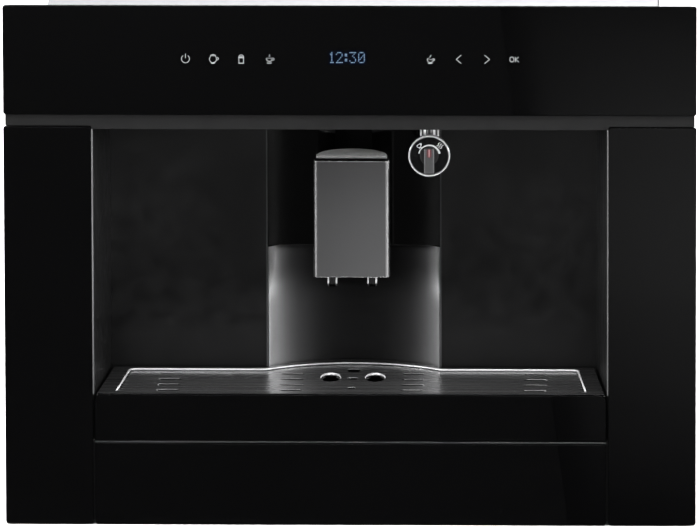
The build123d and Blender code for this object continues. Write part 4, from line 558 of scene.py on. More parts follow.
def circuit_board(name, colour):
    """Lacquered board: lighter tracks run across it in straight steps."""
    made = Finish(name, colour, 0.35)
    tracks = made.cells(260.0, "Distance", (1.0, 0.35, 1.0), 0.0)
    made.shade(tracks, 0.7, 1.9, (0.12, 0.3))
    made.rough(made.noise(90.0), 0.25, 0.45)
    return made.relief(tracks, 0.00004, 0.4)


def cast_metal(name, colour, roughness=0.5):
    """Cast surface with an uneven skin."""
    made = Finish(name, colour, roughness, metallic=0.9)
    made.soft_edges(0.0008)
    made.shade(made.noise(60.0), 0.8, 1.12)
    made.rough(made.noise(160.0, shift=3.0), roughness * 0.8, roughness * 1.25)
    return made.relief(made.noise(1200.0, detail=5.0), 0.00012, 0.5)


def printed(name, colour):
    """Matt ink."""
    made = Finish(name, colour, 0.5)
    return made.shade(made.noise(900.0), 0.93, 1.0)


def backlit(name, colour, strength=1.0):
    """A window in the back paint that is lit from behind: dark in itself, even in its light."""
    made = Finish(name, LIT_WINDOW, 0.05)
    made.shade(made.noise(900.0), 0.9, 1.1)
    return made.set(Emission_Color=(*colour, 1.0), Emission_Strength=strength)


# ---------------------------------------------------------------- added pieces


def mesh_object(name, mesh, material):
    """Turn the gathered faces into an object of the scene."""
    data = bpy.data.meshes.new(name)
    mesh.to_mesh(data)
    mesh.free()
    data.materials.append(material)
    made = bpy.data.objects.new(name, data)
    bpy.context.scene.collection.objects.link(made)
    return made


def add_piece(name, mesh, material, body):
    """Turn the gathered faces into a piece that moves with the body."""
    bmesh.ops.recalc_face_normals(mesh, faces=mesh.faces)
    piece = mesh_object(name, mesh, material)
    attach(piece, body)


# How far a swept bar's end is domed and how thin a tapered end is, as shares of the bar's radius.
DOME, THIN_END = 0.7, 0.25


def sweep(mesh, points, radius, sides=12, tapered=False):
    """A round bar along level points, with domed ends, that may thin out toward both."""
    points = [Vector(point) for point in points]
    up = Vector((0.0, 0.0, 1.0))
    last = len(points) - 1
    rings = []
    for i, point in enumerate(points):
        run = (points[min(i + 1, last)] - points[max(i - 1, 0)]).normalized()
        across = run.cross(up)
        thick = radius
        if tapered:
            thick *= THIN_END + (1 - THIN_END) * math.sin(math.pi * i / last)
        ring = []
        for k in range(sides):
            angle = 2 * math.pi * k / sides
            ring.append(mesh.verts.new(point + (across * math.cos(angle) + up * math.sin(angle)) * thick))
        rings.append(ring)
        if i in (0, last):
            tip = mesh.verts.new(point + run * thick * (DOME if i else -DOME))
            for k in range(sides):
                mesh.faces.new((ring[k], ring[(k + 1) % sides], tip))
    for low, high in zip(rings, rings[1:]):
        for k in range(sides):
            mesh.faces.new((low[k], low[(k + 1) % sides], high[(k + 1) % sides], high[k]))
    for face in mesh.faces:
        face.smooth = True


def oval(middle, half_width, half_height, steps, start=0.0, end=360.0):
    """Points along an ellipse or part of one, in degrees counterclockwise from the right."""
    angles = [math.radians(start + (end - start) * i / steps) for i in range(steps + 1)]
    return [(middle[0] + half_width * math.cos(a), middle[1] + half_height * math.sin(a)) for a in angles]


def rounded(before, corner, after, steps):
    """Points along a curve that leaves the first place toward the corner and ends coming from it."""
    points = []
    for i in range(steps + 1):
        share = i / steps
        start, bend, end = (1 - share) ** 2, 2 * share * (1 - share), share ** 2
        points.append((start * before[0] + bend * corner[0] + end * after[0],
                       start * before[1] + bend * corner[1] + end * after[1]))
    return points


class Mark:
    """Flat strokes and shapes gathered into one thin film in a plane, then turned into place.

    Places and radii of arcs are shares of the mark's size; widths of lines and radii of dots are in metres.
    """

    LAYER = 1e-7
    ARC_STEPS = 32

    def __init__(self, film, size=1.0):
        self.mesh = bmesh.new()
        self.front = film
        self.size = size

    def shape(self, points):
        """A filled outline, given as (across, up) pairs in metres, a little in front of the last one."""
        self.front += self.LAYER
        low = [self.mesh.verts.new((x, 0.0, z)) for x, z in points]
        high = [self.mesh.verts.new((x, -self.front, z)) for x, z in points]
        self.mesh.faces.new(low)
        self.mesh.faces.new(high[::-1])
        for i in range(len(points)):
            j = (i + 1) % len(points)
            self.mesh.faces.new((low[j], low[i], high[i], high[j]))

    def square(self, x, z, half):
        self.shape([(x - half, z - half), (x + half, z - half), (x + half, z + half), (x - half, z + half)])

    def dot(self, centre, radius, steps=12):
        place = (centre[0] * self.size, centre[1] * self.size)
        self.shape(oval(place, radius, radius, steps)[:-1])

    def stroke(self, points, width):
        """A line of even width through the points, with round ends and joins."""
        half = width / 2
        scaled = [(x * self.size, z * self.size) for x, z in points]
        for (x0, z0), (x1, z1) in zip(scaled, scaled[1:]):
            length = math.hypot(x1 - x0, z1 - z0)
            dx, dz = (x1 - x0) / length * half, (z1 - z0) / length * half
            self.shape([(x0 + dz, z0 - dx), (x1 + dz, z1 - dx), (x1 - dz, z1 + dx), (x0 - dz, z0 + dx)])
        for point in points:
            self.dot(point, half)

    def arc(self, centre, radius, start, end, width, end_width=None):
        """A band along an arc, in degrees counterclockwise from the right, that may grow in width."""
        end_width = width if end_width is None else end_width
        inner, outer = [], []
        for i in range(self.ARC_STEPS + 1):
            share = i / self.ARC_STEPS
            angle = math.radians(start + (end - start) * share)
            half = (width + (end_width - width) * share) / 2
            for edge, reach in ((inner, radius * self.size - half), (outer, radius * self.size + half)):
                edge.append((centre[0] * self.size + reach * math.cos(angle),
                             centre[1] * self.size + reach * math.sin(angle)))
        for i in range(self.ARC_STEPS):
            self.shape([inner[i], outer[i], outer[i + 1], inner[i + 1]])

    def done(self, name, matrix, material, body, slot=None):
        self.mesh.transform(matrix)
        add_piece(name, self.mesh, material, body)


def on_front(x, z, y=GLASS_FACE):
    """Where a mark faces the user: its own origin at x, z on the glass or on another upright plane."""
    return Matrix.Translation((x, y, z))


def resting(node, x, y):
    """Where a mark lies on the node's upper side, following its slope, and reads from the front."""
    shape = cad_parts[node].data
    tree = BVHTree.FromPolygons([v.co for v in shape.vertices], [tuple(p.vertices) for p in shape.polygons])
    spot, normal, _, _ = tree.ray_cast(Vector((x, y, 1.0)), Vector((0.0, 0.0, -1.0)))
    if spot is None:
        raise RuntimeError(f"no surface of {node} below {x}, {y}")
    slope = Vector((0.0, 0.0, 1.0)).rotation_difference(normal).to_matrix().to_4x4()
    return Matrix.Translation(spot) @ slope @ Matrix.Rotation(math.radians(-90.0), 4, "X")


# ---------------------------------------------------------------- symbols


def power_symbol(mark, line):
    mark.arc((0, -0.04), 0.90, 125.0, 415.0, line)
    mark.stroke([(0, 0.16), (0, 1.12)], line)


def mug_symbol(mark, line):
    """A round mug with froth above its rim, a handle and a foot."""
    mark.arc((-0.16, -0.08), 0.80, 125.0, 415.0, line)
    for x, z in ((-0.48, 0.62), (-0.14, 0.76), (0.2, 0.62)):
        mark.arc((x, z), 0.24, 10.0, 190.0, line)
    mark.arc((0.8, 0.02), 0.28, -110.0, 110.0, line)
    mark.stroke([(-0.56, -1.02), (0.26, -1.02)], line * 1.3)


def tall_glass_symbol(mark, line):
    """A tall glass with a domed froth."""
    for turn in (-1, 1):
        mark.stroke([(turn * 0.54, 0.3), (turn * 0.50, -0.9)], line)
    mark.arc((0, 0.36), 0.54, 0.0, 180.0, line)
    mark.stroke([(-0.54, 0.26), (0.54, 0.26)], line * 1.4)
    mark.stroke([(-0.3, 0.55), (0.3, 0.55)], line)
    mark.stroke([(-0.58, -1.0), (0.58, -1.0)], line * 1.3)


def small_cup_symbol(mark, line):
    """A low cup on a saucer with a wisp of steam."""
    mark.arc((-0.14, 0.12), 0.72, 185.0, 355.0, line)
    mark.stroke([(-0.84, 0.16), (0.56, 0.16)], line * 0.6)
    mark.arc((0.72, -0.06), 0.28, -110.0, 100.0, line * 0.8)
    mark.stroke([(-0.66, -1.0), (0.38, -1.0)], line * 1.3)
    mark.stroke([(-0.24, 0.5), (-0.02, 0.72), (-0.12, 1.06)], line * 0.8)


def stirred_cup_symbol(mark, line):
    """A cup seen from a little above, with a swirl and a spoon."""
    mark.arc((-0.1, -0.1), 0.74, 160.0, 380.0, line)
    mark.stroke([(-0.78, 0.2), (0.05, -0.12), (0.62, 0.16)], line * 0.6)
    mark.stroke([(-0.6, -1.02), (0.42, -1.02)], line * 1.3)
    mark.arc((0.74, -0.1), 0.26, -110.0, 110.0, line * 0.8)
    mark.stroke([(-0.24, 0.5), (0.1, 1.05)], line)


def previous_symbol(mark, line):
    mark.stroke([(0.56, 0.96), (-0.56, 0.0), (0.56, -0.96)], line)


def next_symbol(mark, line):
    mark.stroke([(-0.56, 0.96), (0.56, 0.0), (-0.56, -0.96)], line)


def ok_symbol(mark, line):
    mark.stroke(oval((-0.56, 0.0), 0.47, 0.58, 20), line)
    mark.stroke([(0.24, -0.58), (0.24, 0.58)], line)
    mark.stroke([(0.96, 0.58), (0.34, 0.0), (1.0, -0.58)], line * 0.8)


def drop_symbol(mark, line):
    mark.arc((0, -0.25), 0.6, 150.0, 390.0, line)
    for turn in (-1, 1):
        mark.stroke([(turn * 0.52, 0.05), (turn * 0.22, 0.55), (0, 1)], line)


def bean_symbol(mark, line):
    mark.stroke(oval((0, 0), 0.62, 0.95, 28), line)
    mark.stroke([(0.1, 0.9), (-0.16, 0.4), (0.16, -0.3), (-0.1, -0.9)], line)


def scoop_symbol(mark, line):
    mark.arc((-0.35, 0), 0.5, 180.0, 360.0, line)
    mark.stroke([(-0.85, 0), (0.15, 0), (1, 0.3)], line)
    for x in (-0.55, -0.35, -0.15):
        mark.dot((x, 0.22), 0.08 * mark.size)


def max_symbol(mark, line):
    """The word MAX over the line that it names."""
    mark.stroke([(-2.2, -1), (-2.2, 1), (-1.5, 0), (-0.8, 1), (-0.8, -1)], line)
    mark.stroke([(-0.5, -1), (0.1, 1), (0.7, -1)], line)
    mark.stroke([(-0.3, -0.35), (0.5, -0.35)], line)
    mark.stroke([(1.0, -1), (2.2, 1)], line)
    mark.stroke([(1.0, 1), (2.2, -1)], line)
    mark.stroke([(-5.0, -1.8), (5.0, -1.8)], line * 1.3)


def grind_symbol(mark, line):
    """From fine to coarse: an arc that grows in width between a small and a large dot."""
    mark.arc((0, 1), 1, 218.0, 322.0, line, line * 3.4)
    for angle, radius in ((207.0, line * 0.7), (336.0, line * 2.4)):
        turn = math.radians(angle)
        mark.dot((math.cos(turn), 1 + math.sin(turn)), radius, 20)


def cup_sign(mark, line):
    """The dial's sign for hot water: a cup with its handle and saucer."""
    mark.arc((-0.15, 0.1), 0.72, 150.0, 390.0, line)
    mark.stroke([(-0.77, 0.46), (0.47, 0.46)], line)
    mark.arc((0.68, 0.12), 0.3, -100.0, 100.0, line * 8 / 9)
    mark.stroke([(-0.7, -0.9), (0.5, -0.9)], line)


def steam_sign(mark, line):
    """The dial's sign for steam: three wisps side by side."""
    for x in (-0.75, 0.0, 0.75):
        mark.stroke([(x, -0.85), (x + 0.3, -0.25), (x - 0.1, 0.3), (x + 0.2, 0.9)], line)


# Each touch symbol: its name, its place across the glass, its scale and how it is drawn.
TOUCH_SYMBOLS = (
    ("power", -0.1406, 1.0, power_symbol),
    ("large_cup", -0.1164, 1.0, mug_symbol),
    ("tall_glass", -0.0928, 1.0, tall_glass_symbol),
    ("small_cup", -0.0682, 0.95, small_cup_symbol),
    ("stirred_cup", 0.0696, 0.9, stirred_cup_symbol),
    ("previous", 0.0936, 1.0, previous_symbol),
    ("next", 0.1179, 1.0, next_symbol),
    ("confirm", 0.1413, 1.0, ok_symbol),
)

# Each lid's mark: its name, lid and body, how far behind the lid's front edge, its size and how it is drawn.
LID_SYMBOLS = (
    ("tank_drop", "tank_lid", "tank_cover", 0.078, 0.0085, drop_symbol),
    ("hopper_bean", "hopper_lid", "hopper_cover", 0.076, 0.0085, bean_symbol),
    ("chute_scoop", "chute_lid", "chute_cover", 0.030, 0.0080, scoop_symbol),
)

# Each sign on the dial: its name, its place from the dial's middle, its tilt in degrees and how it is drawn.
DIAL_SIGNS = (
    ("dial_cup", (-0.0085, 0, 0.0089), -35.0, cup_sign),
    ("dial_steam", (0.0091, 0, 0.0090), 38.0, steam_sign),
)

# The dial's printed arc: the angles in degrees at which it starts and ends, and its width there.
DIAL_ARC = (168.0, 12.0, 0.0008, 0.0018)

# The lines on the lever: how far below its top they start and end, and their width.
RED_LINE = (0.0068, 0.0029, 0.0040)
PALE_LINE = (0.0078, 0.0018, 0.0009)

# The small marks on top, each with the width of its line; the pointer lies in front of the adjuster's middle.
MAX_HALF, MAX_LINE = 0.0026, 0.0007
POINTER_START, POINTER_END, POINTER_LINE = 0.0105, 0.0055, 0.0011
ON_HALF, ON_LINE = 0.0024, 0.0008
OFF_RADIUS, OFF_LINE = 0.0021, 0.0007

# The clock's signs in rows of dots, five across.
DIGITS = {
    "0": ("01110", "10001", "10011", "10101", "11001", "10001", "01110"),
    "1": ("00100", "01100", "00100", "00100", "00100", "00100", "01110"),
    "2": ("01110", "10001", "00001", "00010", "00100", "01000", "11111"),
    "3": ("11111", "00010", "00100", "00010", "00001", "10001", "01110"),
    "4": ("00010", "00110", "01010", "10010", "11111", "00010", "00010"),
    "5": ("11111", "10000", "11110", "00001", "00001", "10001", "01110"),
    "6": ("00110", "01000", "10000", "11110", "10001", "10001", "01110"),
    "7": ("11111", "00001", "00010", "00100", "01000", "01000", "01000"),
    "8": ("01110", "10001", "10001", "01110", "10001", "10001", "01110"),
    "9": ("01110", "10001", "10001", "01111", "00001", "00010", "01100"),
    ":": ("00000", "01100", "01100", "00000", "01100", "01100", "00000"),
}
MIDDLE_ROW = 3


class Step:
    """What every operator here shares."""

    bl_options = {"REGISTER", "UNDO"}


class COFFEE_OT_front_finish(Step, bpy.types.Operator):
    """Finish the glass, the carrier behind it and the thin trims"""

    bl_idname = "coffee.front_finish"
    bl_label = "Front finishes"

    def execute(self, context):
        tones = context.scene.coffee_finish
        put(black_glass("black_glass", tones.glass),
            "control_glass", "column_glass_left", "column_glass_right", "lower_glass", "tray_front_glass")
        grain = moulded("carrier_grain", tones.carrier, 0.42, spread=0.02, wear=0.0)
        put(grain.set(Specular_IOR_Level=0.38), "front_carrier")
        put(bay_trim("anodised_trim", tones.trim), "bay_trims")
        put(seam_line("anodised_seam", tones.trim), "floor_trim")
        return {"FINISHED"}


class COFFEE_OT_bay_finish(Step, bpy.types.Operator):
    """Finish the cup bay: walls, cover, splash panel, dispenser, outlet, tray and grid"""

    bl_idname = "coffee.bay_finish"
    bl_label = "Bay finishes"

    def execute(self, context):
        tones = context.scene.coffee_finish
        put(bay_satin("bay_satin", tones.bay),
            "bay_wall_left", "bay_wall_right", "bay_back_panels", "bay_ceiling")
        put(cover_gloss("gloss_cover", tones.cover), "upper_cover")
        put(splash_steel("splash_steel", tones.splash), "splash_panel")
        put(grid_steel("grid_steel", tones.grid), "cup_grid")
        put(dispenser_metal("dispenser_metal", tones.dispenser), "dispenser_front")
        put(cap_plastic("cap_plastic", tones.cap), "dispenser_cap")
        put(polished_plastic("dispenser_black", (0.0004, 0.0004, 0.0004), 0.08, 0.0),
            "dispenser_core", "dispenser_carriage")
        put(chromed("bright_chrome"), "guide_rods", "steam_pipe")
        # The ring and the collar get painted reflections in bands.
        put(banded("ring_chrome", (0.80, 0.80, 0.81), Finish.round_dial, RING_BANDS, 0.55), "selector_ring")
        collar = banded("collar_chrome", (0.95, 0.95, 0.96), Finish.beside_dial, COLLAR_BANDS, 0.0)
        put(collar, "steam_collar")
        put(spout_chrome("spout_chrome", (0.95, 0.95, 0.96)), "coffee_spouts")
        put(polished_plastic("dial_black", (0.004, 0.004, 0.0042), 0.09), "selector_dial")
        put(lever_grey("lever_grey", (0.040, 0.040, 0.041)), "selector_lever")
        put(moulded("tray_black", (0.0022, 0.0022, 0.0022), 0.4),
            "drip_tray", "bay_floor", "grounds_container", "valve_body")
        return {"FINISHED"}


class COFFEE_OT_housing_finish(Step, bpy.types.Operator):
    """Finish the housing, the slides, the lids and what stands on top"""

    bl_idname = "coffee.housing_finish"
    bl_label = "Housing finishes"

    def execute(self, context):
        tones = context.scene.coffee_finish
        put(galvanised("galvanised_sheet", tones.sheet), "base_tray", "side_panels", "rear_panel")
        # Painted shade: the top panel is a darker copy of the same galvanised sheet.
        put(galvanised("shaded_top_sheet", [tone * TOP_PAINTED_SHADE for tone in tones.sheet], 0.62), "top_panel")
        # Painted shade: the bulkhead behind the cover's slot is coloured near black for the shade there.
        put(moulded("shaded_black", (0.0010, 0.0010, 0.0010), 0.55, 900.0, 0.00002, wear=0.0), "bulkhead")
        put(plated("zinc_plated", tones.plated), "mounting_frame", "panel_screws",
            "rail_outer_members", "rail_middle_members", "rail_inner_members")
        put(moulded("glide_acetal", (0.72, 0.71, 0.67), 0.4), "rail_glides")
        put(clear_plastic("tank_clear", (0.62, 0.68, 0.73)), "water_tank", "bean_hopper")
        put(clear_plastic("smoked_lid", (0.10, 0.10, 0.11), 0.08, 0.6), "tank_lid", "hopper_lid", "chute_lid")
        put(moulded("inner_black", (0.012, 0.012, 0.012), 0.45),
            "brew_unit", "ground_chute", "grinder", "tank_seat", "mains_inlet", "grind_adjuster")
        put(polished_plastic("switch_gloss", (0.008, 0.008, 0.008), 0.15), "switch_body", "switch_rocker")
        return {"FINISHED"}


class COFFEE_OT_inner_finish(Step, bpy.types.Operator):
    """Finish the working pieces inside the housing"""

    bl_idname = "coffee.inner_finish"
    bl_label = "Inner finishes"

    def execute(self, context):
        put(circuit_board("board_green", (0.02, 0.13, 0.05)), "touch_board", "control_board")
        put(polished_plastic("display_dark", (0.01, 0.02, 0.04)), "display_module")
        put(cast_metal("cast_aluminium", (0.48, 0.48, 0.49)), "boiler")
        put(cast_metal("pump_metal", (0.22, 0.22, 0.24), 0.4), "pump")
        put(moulded("rubber", (0.02, 0.02, 0.02), 0.7), "pump_cradle")
        return {"FINISHED"}


class COFFEE_OT_touch_symbols(Step, bpy.types.Operator):
    """Draw the lit touch symbols on the control glass"""

    bl_idname = "coffee.touch_symbols"
    bl_label = "Touch symbols"

    def execute(self, context):
        marks = context.scene.coffee_print
        ink = backlit("symbol_light", marks.ink, 1.25).material
        for name, x, scale, draw in TOUCH_SYMBOLS:
            mark = Mark(marks.film, marks.icon_size * scale)
            draw(mark, marks.line)
            mark.done("symbol_" + name, on_front(x, marks.icon_height), ink, "machine")
        return {"FINISHED"}


class COFFEE_OT_clock(Step, bpy.types.Operator):
    """Draw the clock's lit dots and the glow of the display behind the glass"""

    bl_idname = "coffee.clock"
    bl_label = "Clock"

    pitch: length_property("Dot pitch", "Distance between two dots across a digit", 0.00120)
    rise: length_property("Row pitch", "Distance between two rows of a digit", 0.00144)
    dot: FloatProperty(name="Dot", description="Half of a dot's side, in dot pitches", default=0.26)
    spread: FloatProperty(name="Spread", description="Half of a glow's side, in dot pitches", default=1.7)
    gap: FloatProperty(name="Gap", description="From one digit to the next, in dot pitches", default=2.3)
    left: FloatProperty(name="Left edge", description="Where the first digit starts", default=-0.0163,
                        subtype="DISTANCE", unit="LENGTH")
    height: length_property("Height", "Middle of the digits above the foot", 0.4104)

    def execute(self, context):
        marks = context.scene.coffee_print
        digits = Mark(marks.film)
        glow = Mark(marks.film / 2)
        x = self.left
        for sign in marks.clock:
            rows = DIGITS[sign]
            columns = [i for i in range(len(rows[0])) if any(row[i] == "1" for row in rows)]
            for down, row in enumerate(rows):
                for across in columns:
                    if row[across] == "1":
                        place = x + (across - columns[0]) * self.pitch, (MIDDLE_ROW - down) * self.rise
                        digits.square(*place, self.pitch * self.dot)
                        glow.square(*place, self.pitch * self.spread)
            x += (columns[-1] - columns[0] + self.gap) * self.pitch
        light = backlit("clock_light", (0.30, 0.44, 0.64), 2.0 * marks.clock_glow).material
        halo = backlit("clock_halo", (0.0, 0.0012, 0.0060), marks.clock_glow).material
        digits.done("clock_digits", on_front(0.0, self.height), light, "machine", "display_blue")
        glow.done("clock_halo", on_front(0.0, self.height), halo, "machine", "display_blue")
        return {"FINISHED"}


class COFFEE_OT_dial_marks(Step, bpy.types.Operator):
    """Print the selector dial: its arc, the cup and the steam sign, and the lever's red line"""

    bl_idname = "coffee.dial_marks"
    bl_label = "Dial marks"

    radius: length_property("Arc radius", "Radius of the printed arc", 0.0091)
    size: length_property("Sign size", "Half the size of the cup and of the steam sign", 0.0024)
    line: length_property("Line width", "Width of the signs' strokes", 0.00045)

    def execute(self, context):
        marks = context.scene.coffee_print
        ink = printed("dial_ink", (0.55, 0.56, 0.57)).material
        face = Matrix.Translation((DIAL_MIDDLE.x, DIAL_LOW.y, DIAL_MIDDLE.z))
        dial = Mark(marks.film)
        dial.arc((0, 0), self.radius, *DIAL_ARC)
        dial.done("dial_arc", face, ink, "machine")
        for name, place, tilt, draw in DIAL_SIGNS:
            sign = Mark(marks.film, self.size)
            draw(sign, self.line)
            tilted = Matrix.Rotation(math.radians(tilt), 4, "Y")
            sign.done(name, face @ Matrix.Translation(place) @ tilted, ink, "machine")
        low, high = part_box("selector_lever")
        red, pale = Mark(marks.film), Mark(marks.film * 2)
        for line, (start, end, width) in ((red, RED_LINE), (pale, PALE_LINE)):
            line.stroke([(0, high.z - start), (0, high.z - end)], width)
        front = on_front(DIAL_MIDDLE.x, 0, low.y)
        red.done("lever_red", front, printed("lever_red", (0.10, 0.018, 0.021)).material, "selector")
        pale.done("lever_line", front, printed("lever_pale", (0.36, 0.17, 0.18)).material, "selector")
        return {"FINISHED"}


class COFFEE_OT_tray_lips(Step, bpy.types.Operator):
    """Roll polished lips round the grid's pressing, its catches, its drains and its slots"""

    bl_idname = "coffee.tray_lips"
    bl_label = "Tray lips"

    inset: length_property("Inset", "From the pressing's outline in to the lip's middle", 0.0015)
    radius: length_property("Radius", "Radius of the long lip", 0.0008)
    slot_radius: length_property("Slot lip", "Radius of the fine lip at each slot", 0.00018)

    def execute(self, context):
        satin = satin_lip("satin_lip", (0.56, 0.56, 0.565)).material
        long_lip = bmesh.new()
        sweep(long_lip, self.pressing(GRID_TOP - self.inset / 2), self.radius)
        add_piece("pressing_lip", long_lip, satin, "grid")
        holes = bmesh.new()
        for (across, depth), half_width, half_length, radius in TRAY_HOLES:
            lip = oval((across, GLASS_FACE + depth), half_width, half_length, 30, -5.0, 185.0)
            sweep(holes, self.level(lip), radius, 10, tapered=True)
        add_piece("hole_lips", holes, satin, "grid")
        slots = bmesh.new()
        for column in SLOT_COLUMNS:
            for row in range(SLOT_ROWS):
                middle = GLASS_FACE + SLOT_FIRST + row * SLOT_PITCH
                sweep(slots, self.slot_lip(column, middle), self.slot_radius, 8)
        add_piece("slot_lips", slots, satin_lip("satin_slot_lip", (0.20, 0.20, 0.202)).material, "grid")
        return {"FINISHED"}

    def level(self, points):
        """The points on the pressed-down middle of the grid."""
        return [(x, y, PRESSED_TOP) for x, y in points]

    def slot_lip(self, x, y):
        """Along a slot's back edge from its inner end, and round its outer end."""
        outward = math.copysign(SLOT_HALF - SLOT_END, x)
        end = oval((x + outward, y), math.copysign(SLOT_END, x), SLOT_END, 8, 90.0, -80.0)
        return self.level([(x - outward, y + SLOT_END)] + end)

    def pressing(self, z):
        """The pressing's two sides and back, with the round corners and the bulge under the splash panel."""

        def half(depth):
            return PRESS_SIDE - PRESS_TAPER * (depth - PRESS_SIDE_DEPTH) - self.inset

        back = PRESS_BACK - self.inset
        before = (-half(back - PRESS_CORNER), back - PRESS_CORNER)
        after = (PRESS_CORNER - half(back), back)
        left = [(-half(depth), depth) for depth in (LIP_START, LIP_MIDDLE)]
        left += rounded(before, (-half(back), back), after, 6)
        rise = PRESS_BULGE - PRESS_BACK
        radius = (BULGE_HALF ** 2 + rise ** 2) / (2 * rise)
        reach = math.degrees(math.asin(BULGE_HALF / radius))
        bulge = oval((0.0, back + rise - radius), radius, radius, 32, 90.0 + reach, 90.0 - reach)
        right = [(-x, depth) for x, depth in reversed(left)]
        return [(x, GLASS_FACE + depth, z) for x, depth in left + bulge + right]


class COFFEE_OT_top_marks(Step, bpy.types.Operator):
    """Mark the lids, the grind adjuster, the tank's fill line and the switch"""

    bl_idname = "coffee.top_marks"
    bl_label = "Marks on top"

    line: length_property("Line width", "Width of the marks' strokes", 0.0009)
    scale_radius: length_property("Scale radius", "Radius of the grind scale round its adjuster", 0.0185)
    fill_height: length_property("Fill line", "Height of the tank's MAX mark above the foot", 0.405)
    on_place: FloatProperty(name="I", description="Where I lies, from front to back", default=-0.1668,
                            subtype="DISTANCE", unit="LENGTH")
    off_place: FloatProperty(name="O", description="Where O lies, from front to back", default=-0.1535,
                             subtype="DISTANCE", unit="LENGTH")

    def execute(self, context):
        marks = context.scene.coffee_print
        pale = printed("mark_white", (0.70, 0.70, 0.68)).material
        dark = printed("mark_dark", (0.05, 0.06, 0.08)).material
        for name, lid, body, behind, size, draw in LID_SYMBOLS:
            low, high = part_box(lid)
            mark = Mark(marks.film, size)
            draw(mark, self.line)
            mark.done(name, resting(lid, (low.x + high.x) / 2, low.y + behind), pale, body)
        self.grind_marks(marks.film, pale, dark)
        low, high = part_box("water_tank")
        fill = Mark(marks.film, MAX_HALF)
        max_symbol(fill, MAX_LINE)
        fill.done("tank_fill_line", on_front((low.x + high.x) / 2, self.fill_height, low.y), dark, "tank")
        self.switch_marks(marks.film, pale)
        return {"FINISHED"}

    def grind_marks(self, film, pale, dark):
        """The scale on the top panel in front of the grind adjuster, and the adjuster's pointer."""
        low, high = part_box("grind_adjuster")
        middle = (low + high) / 2
        scale = Mark(film, self.scale_radius)
        grind_symbol(scale, self.line)
        before = middle.y - self.scale_radius
        scale.done("grind_scale", resting("top_panel", middle.x, before), dark, "machine")
        pointer = Mark(film)
        pointer.stroke([(0, -POINTER_START), (0, -POINTER_END)], POINTER_LINE)
        pointer.done("grind_pointer", resting("grind_adjuster", middle.x, middle.y), pale, "adjuster")

    def switch_marks(self, film, pale):
        """I on the rocker's front half and O on its rear half."""
        low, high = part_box("switch_rocker")
        middle = (low.x + high.x) / 2
        on, off = Mark(film), Mark(film)
        on.stroke([(0, -ON_HALF), (0, ON_HALF)], ON_LINE)
        on.done("switch_on", resting("switch_rocker", middle, self.on_place), pale, "rocker")
        off.arc((0, 0), OFF_RADIUS, 0.0, 360.0, OFF_LINE)
        off.done("switch_off", resting("switch_rocker", middle, self.off_place), pale, "rocker")


# ---------------------------------------------------------------- stage


# The softboxes: name, place, what they face, width and height, the setting that powers them and their share.
SOFTBOXES = (
    ("softbox_overhead", (0.0, -1.2, 3.4), (0.0, 0.0, 0.1), (3.2, 2.6), "key", 1.0),
    ("softbox_left", (-2.6, -1.4, 0.95), (0.0, -0.1, 0.3), (0.4, 1.9), "side", 1.0),
    ("softbox_right", (2.6, -1.4, 0.95), (0.0, -0.1, 0.3), (0.4, 1.9), "side", 1.0),
    ("softbox_behind", (0.6, 3.2, 2.2), (0.0, 0.0, 0.2), (2.4, 1.6), "key", 0.45),
    ("rim_left", (-2.6, -1.4, 0.95), (0.0, -0.1, 0.3), (0.4, 1.9), "rim", 1.0),
    ("rim_right", (2.6, -1.4, 0.95), (0.0, -0.1, 0.3), (0.4, 1.9), "rim", 1.0),
    ("front_strip", (0.0, -2.6, 1.7), (0.0, -0.1, 0.25), (2.2, 0.35), "front", 1.0),
)
# Those that only the gloss sees.
GLOSS_ONLY = ("rim_left", "rim_right", "front_strip")


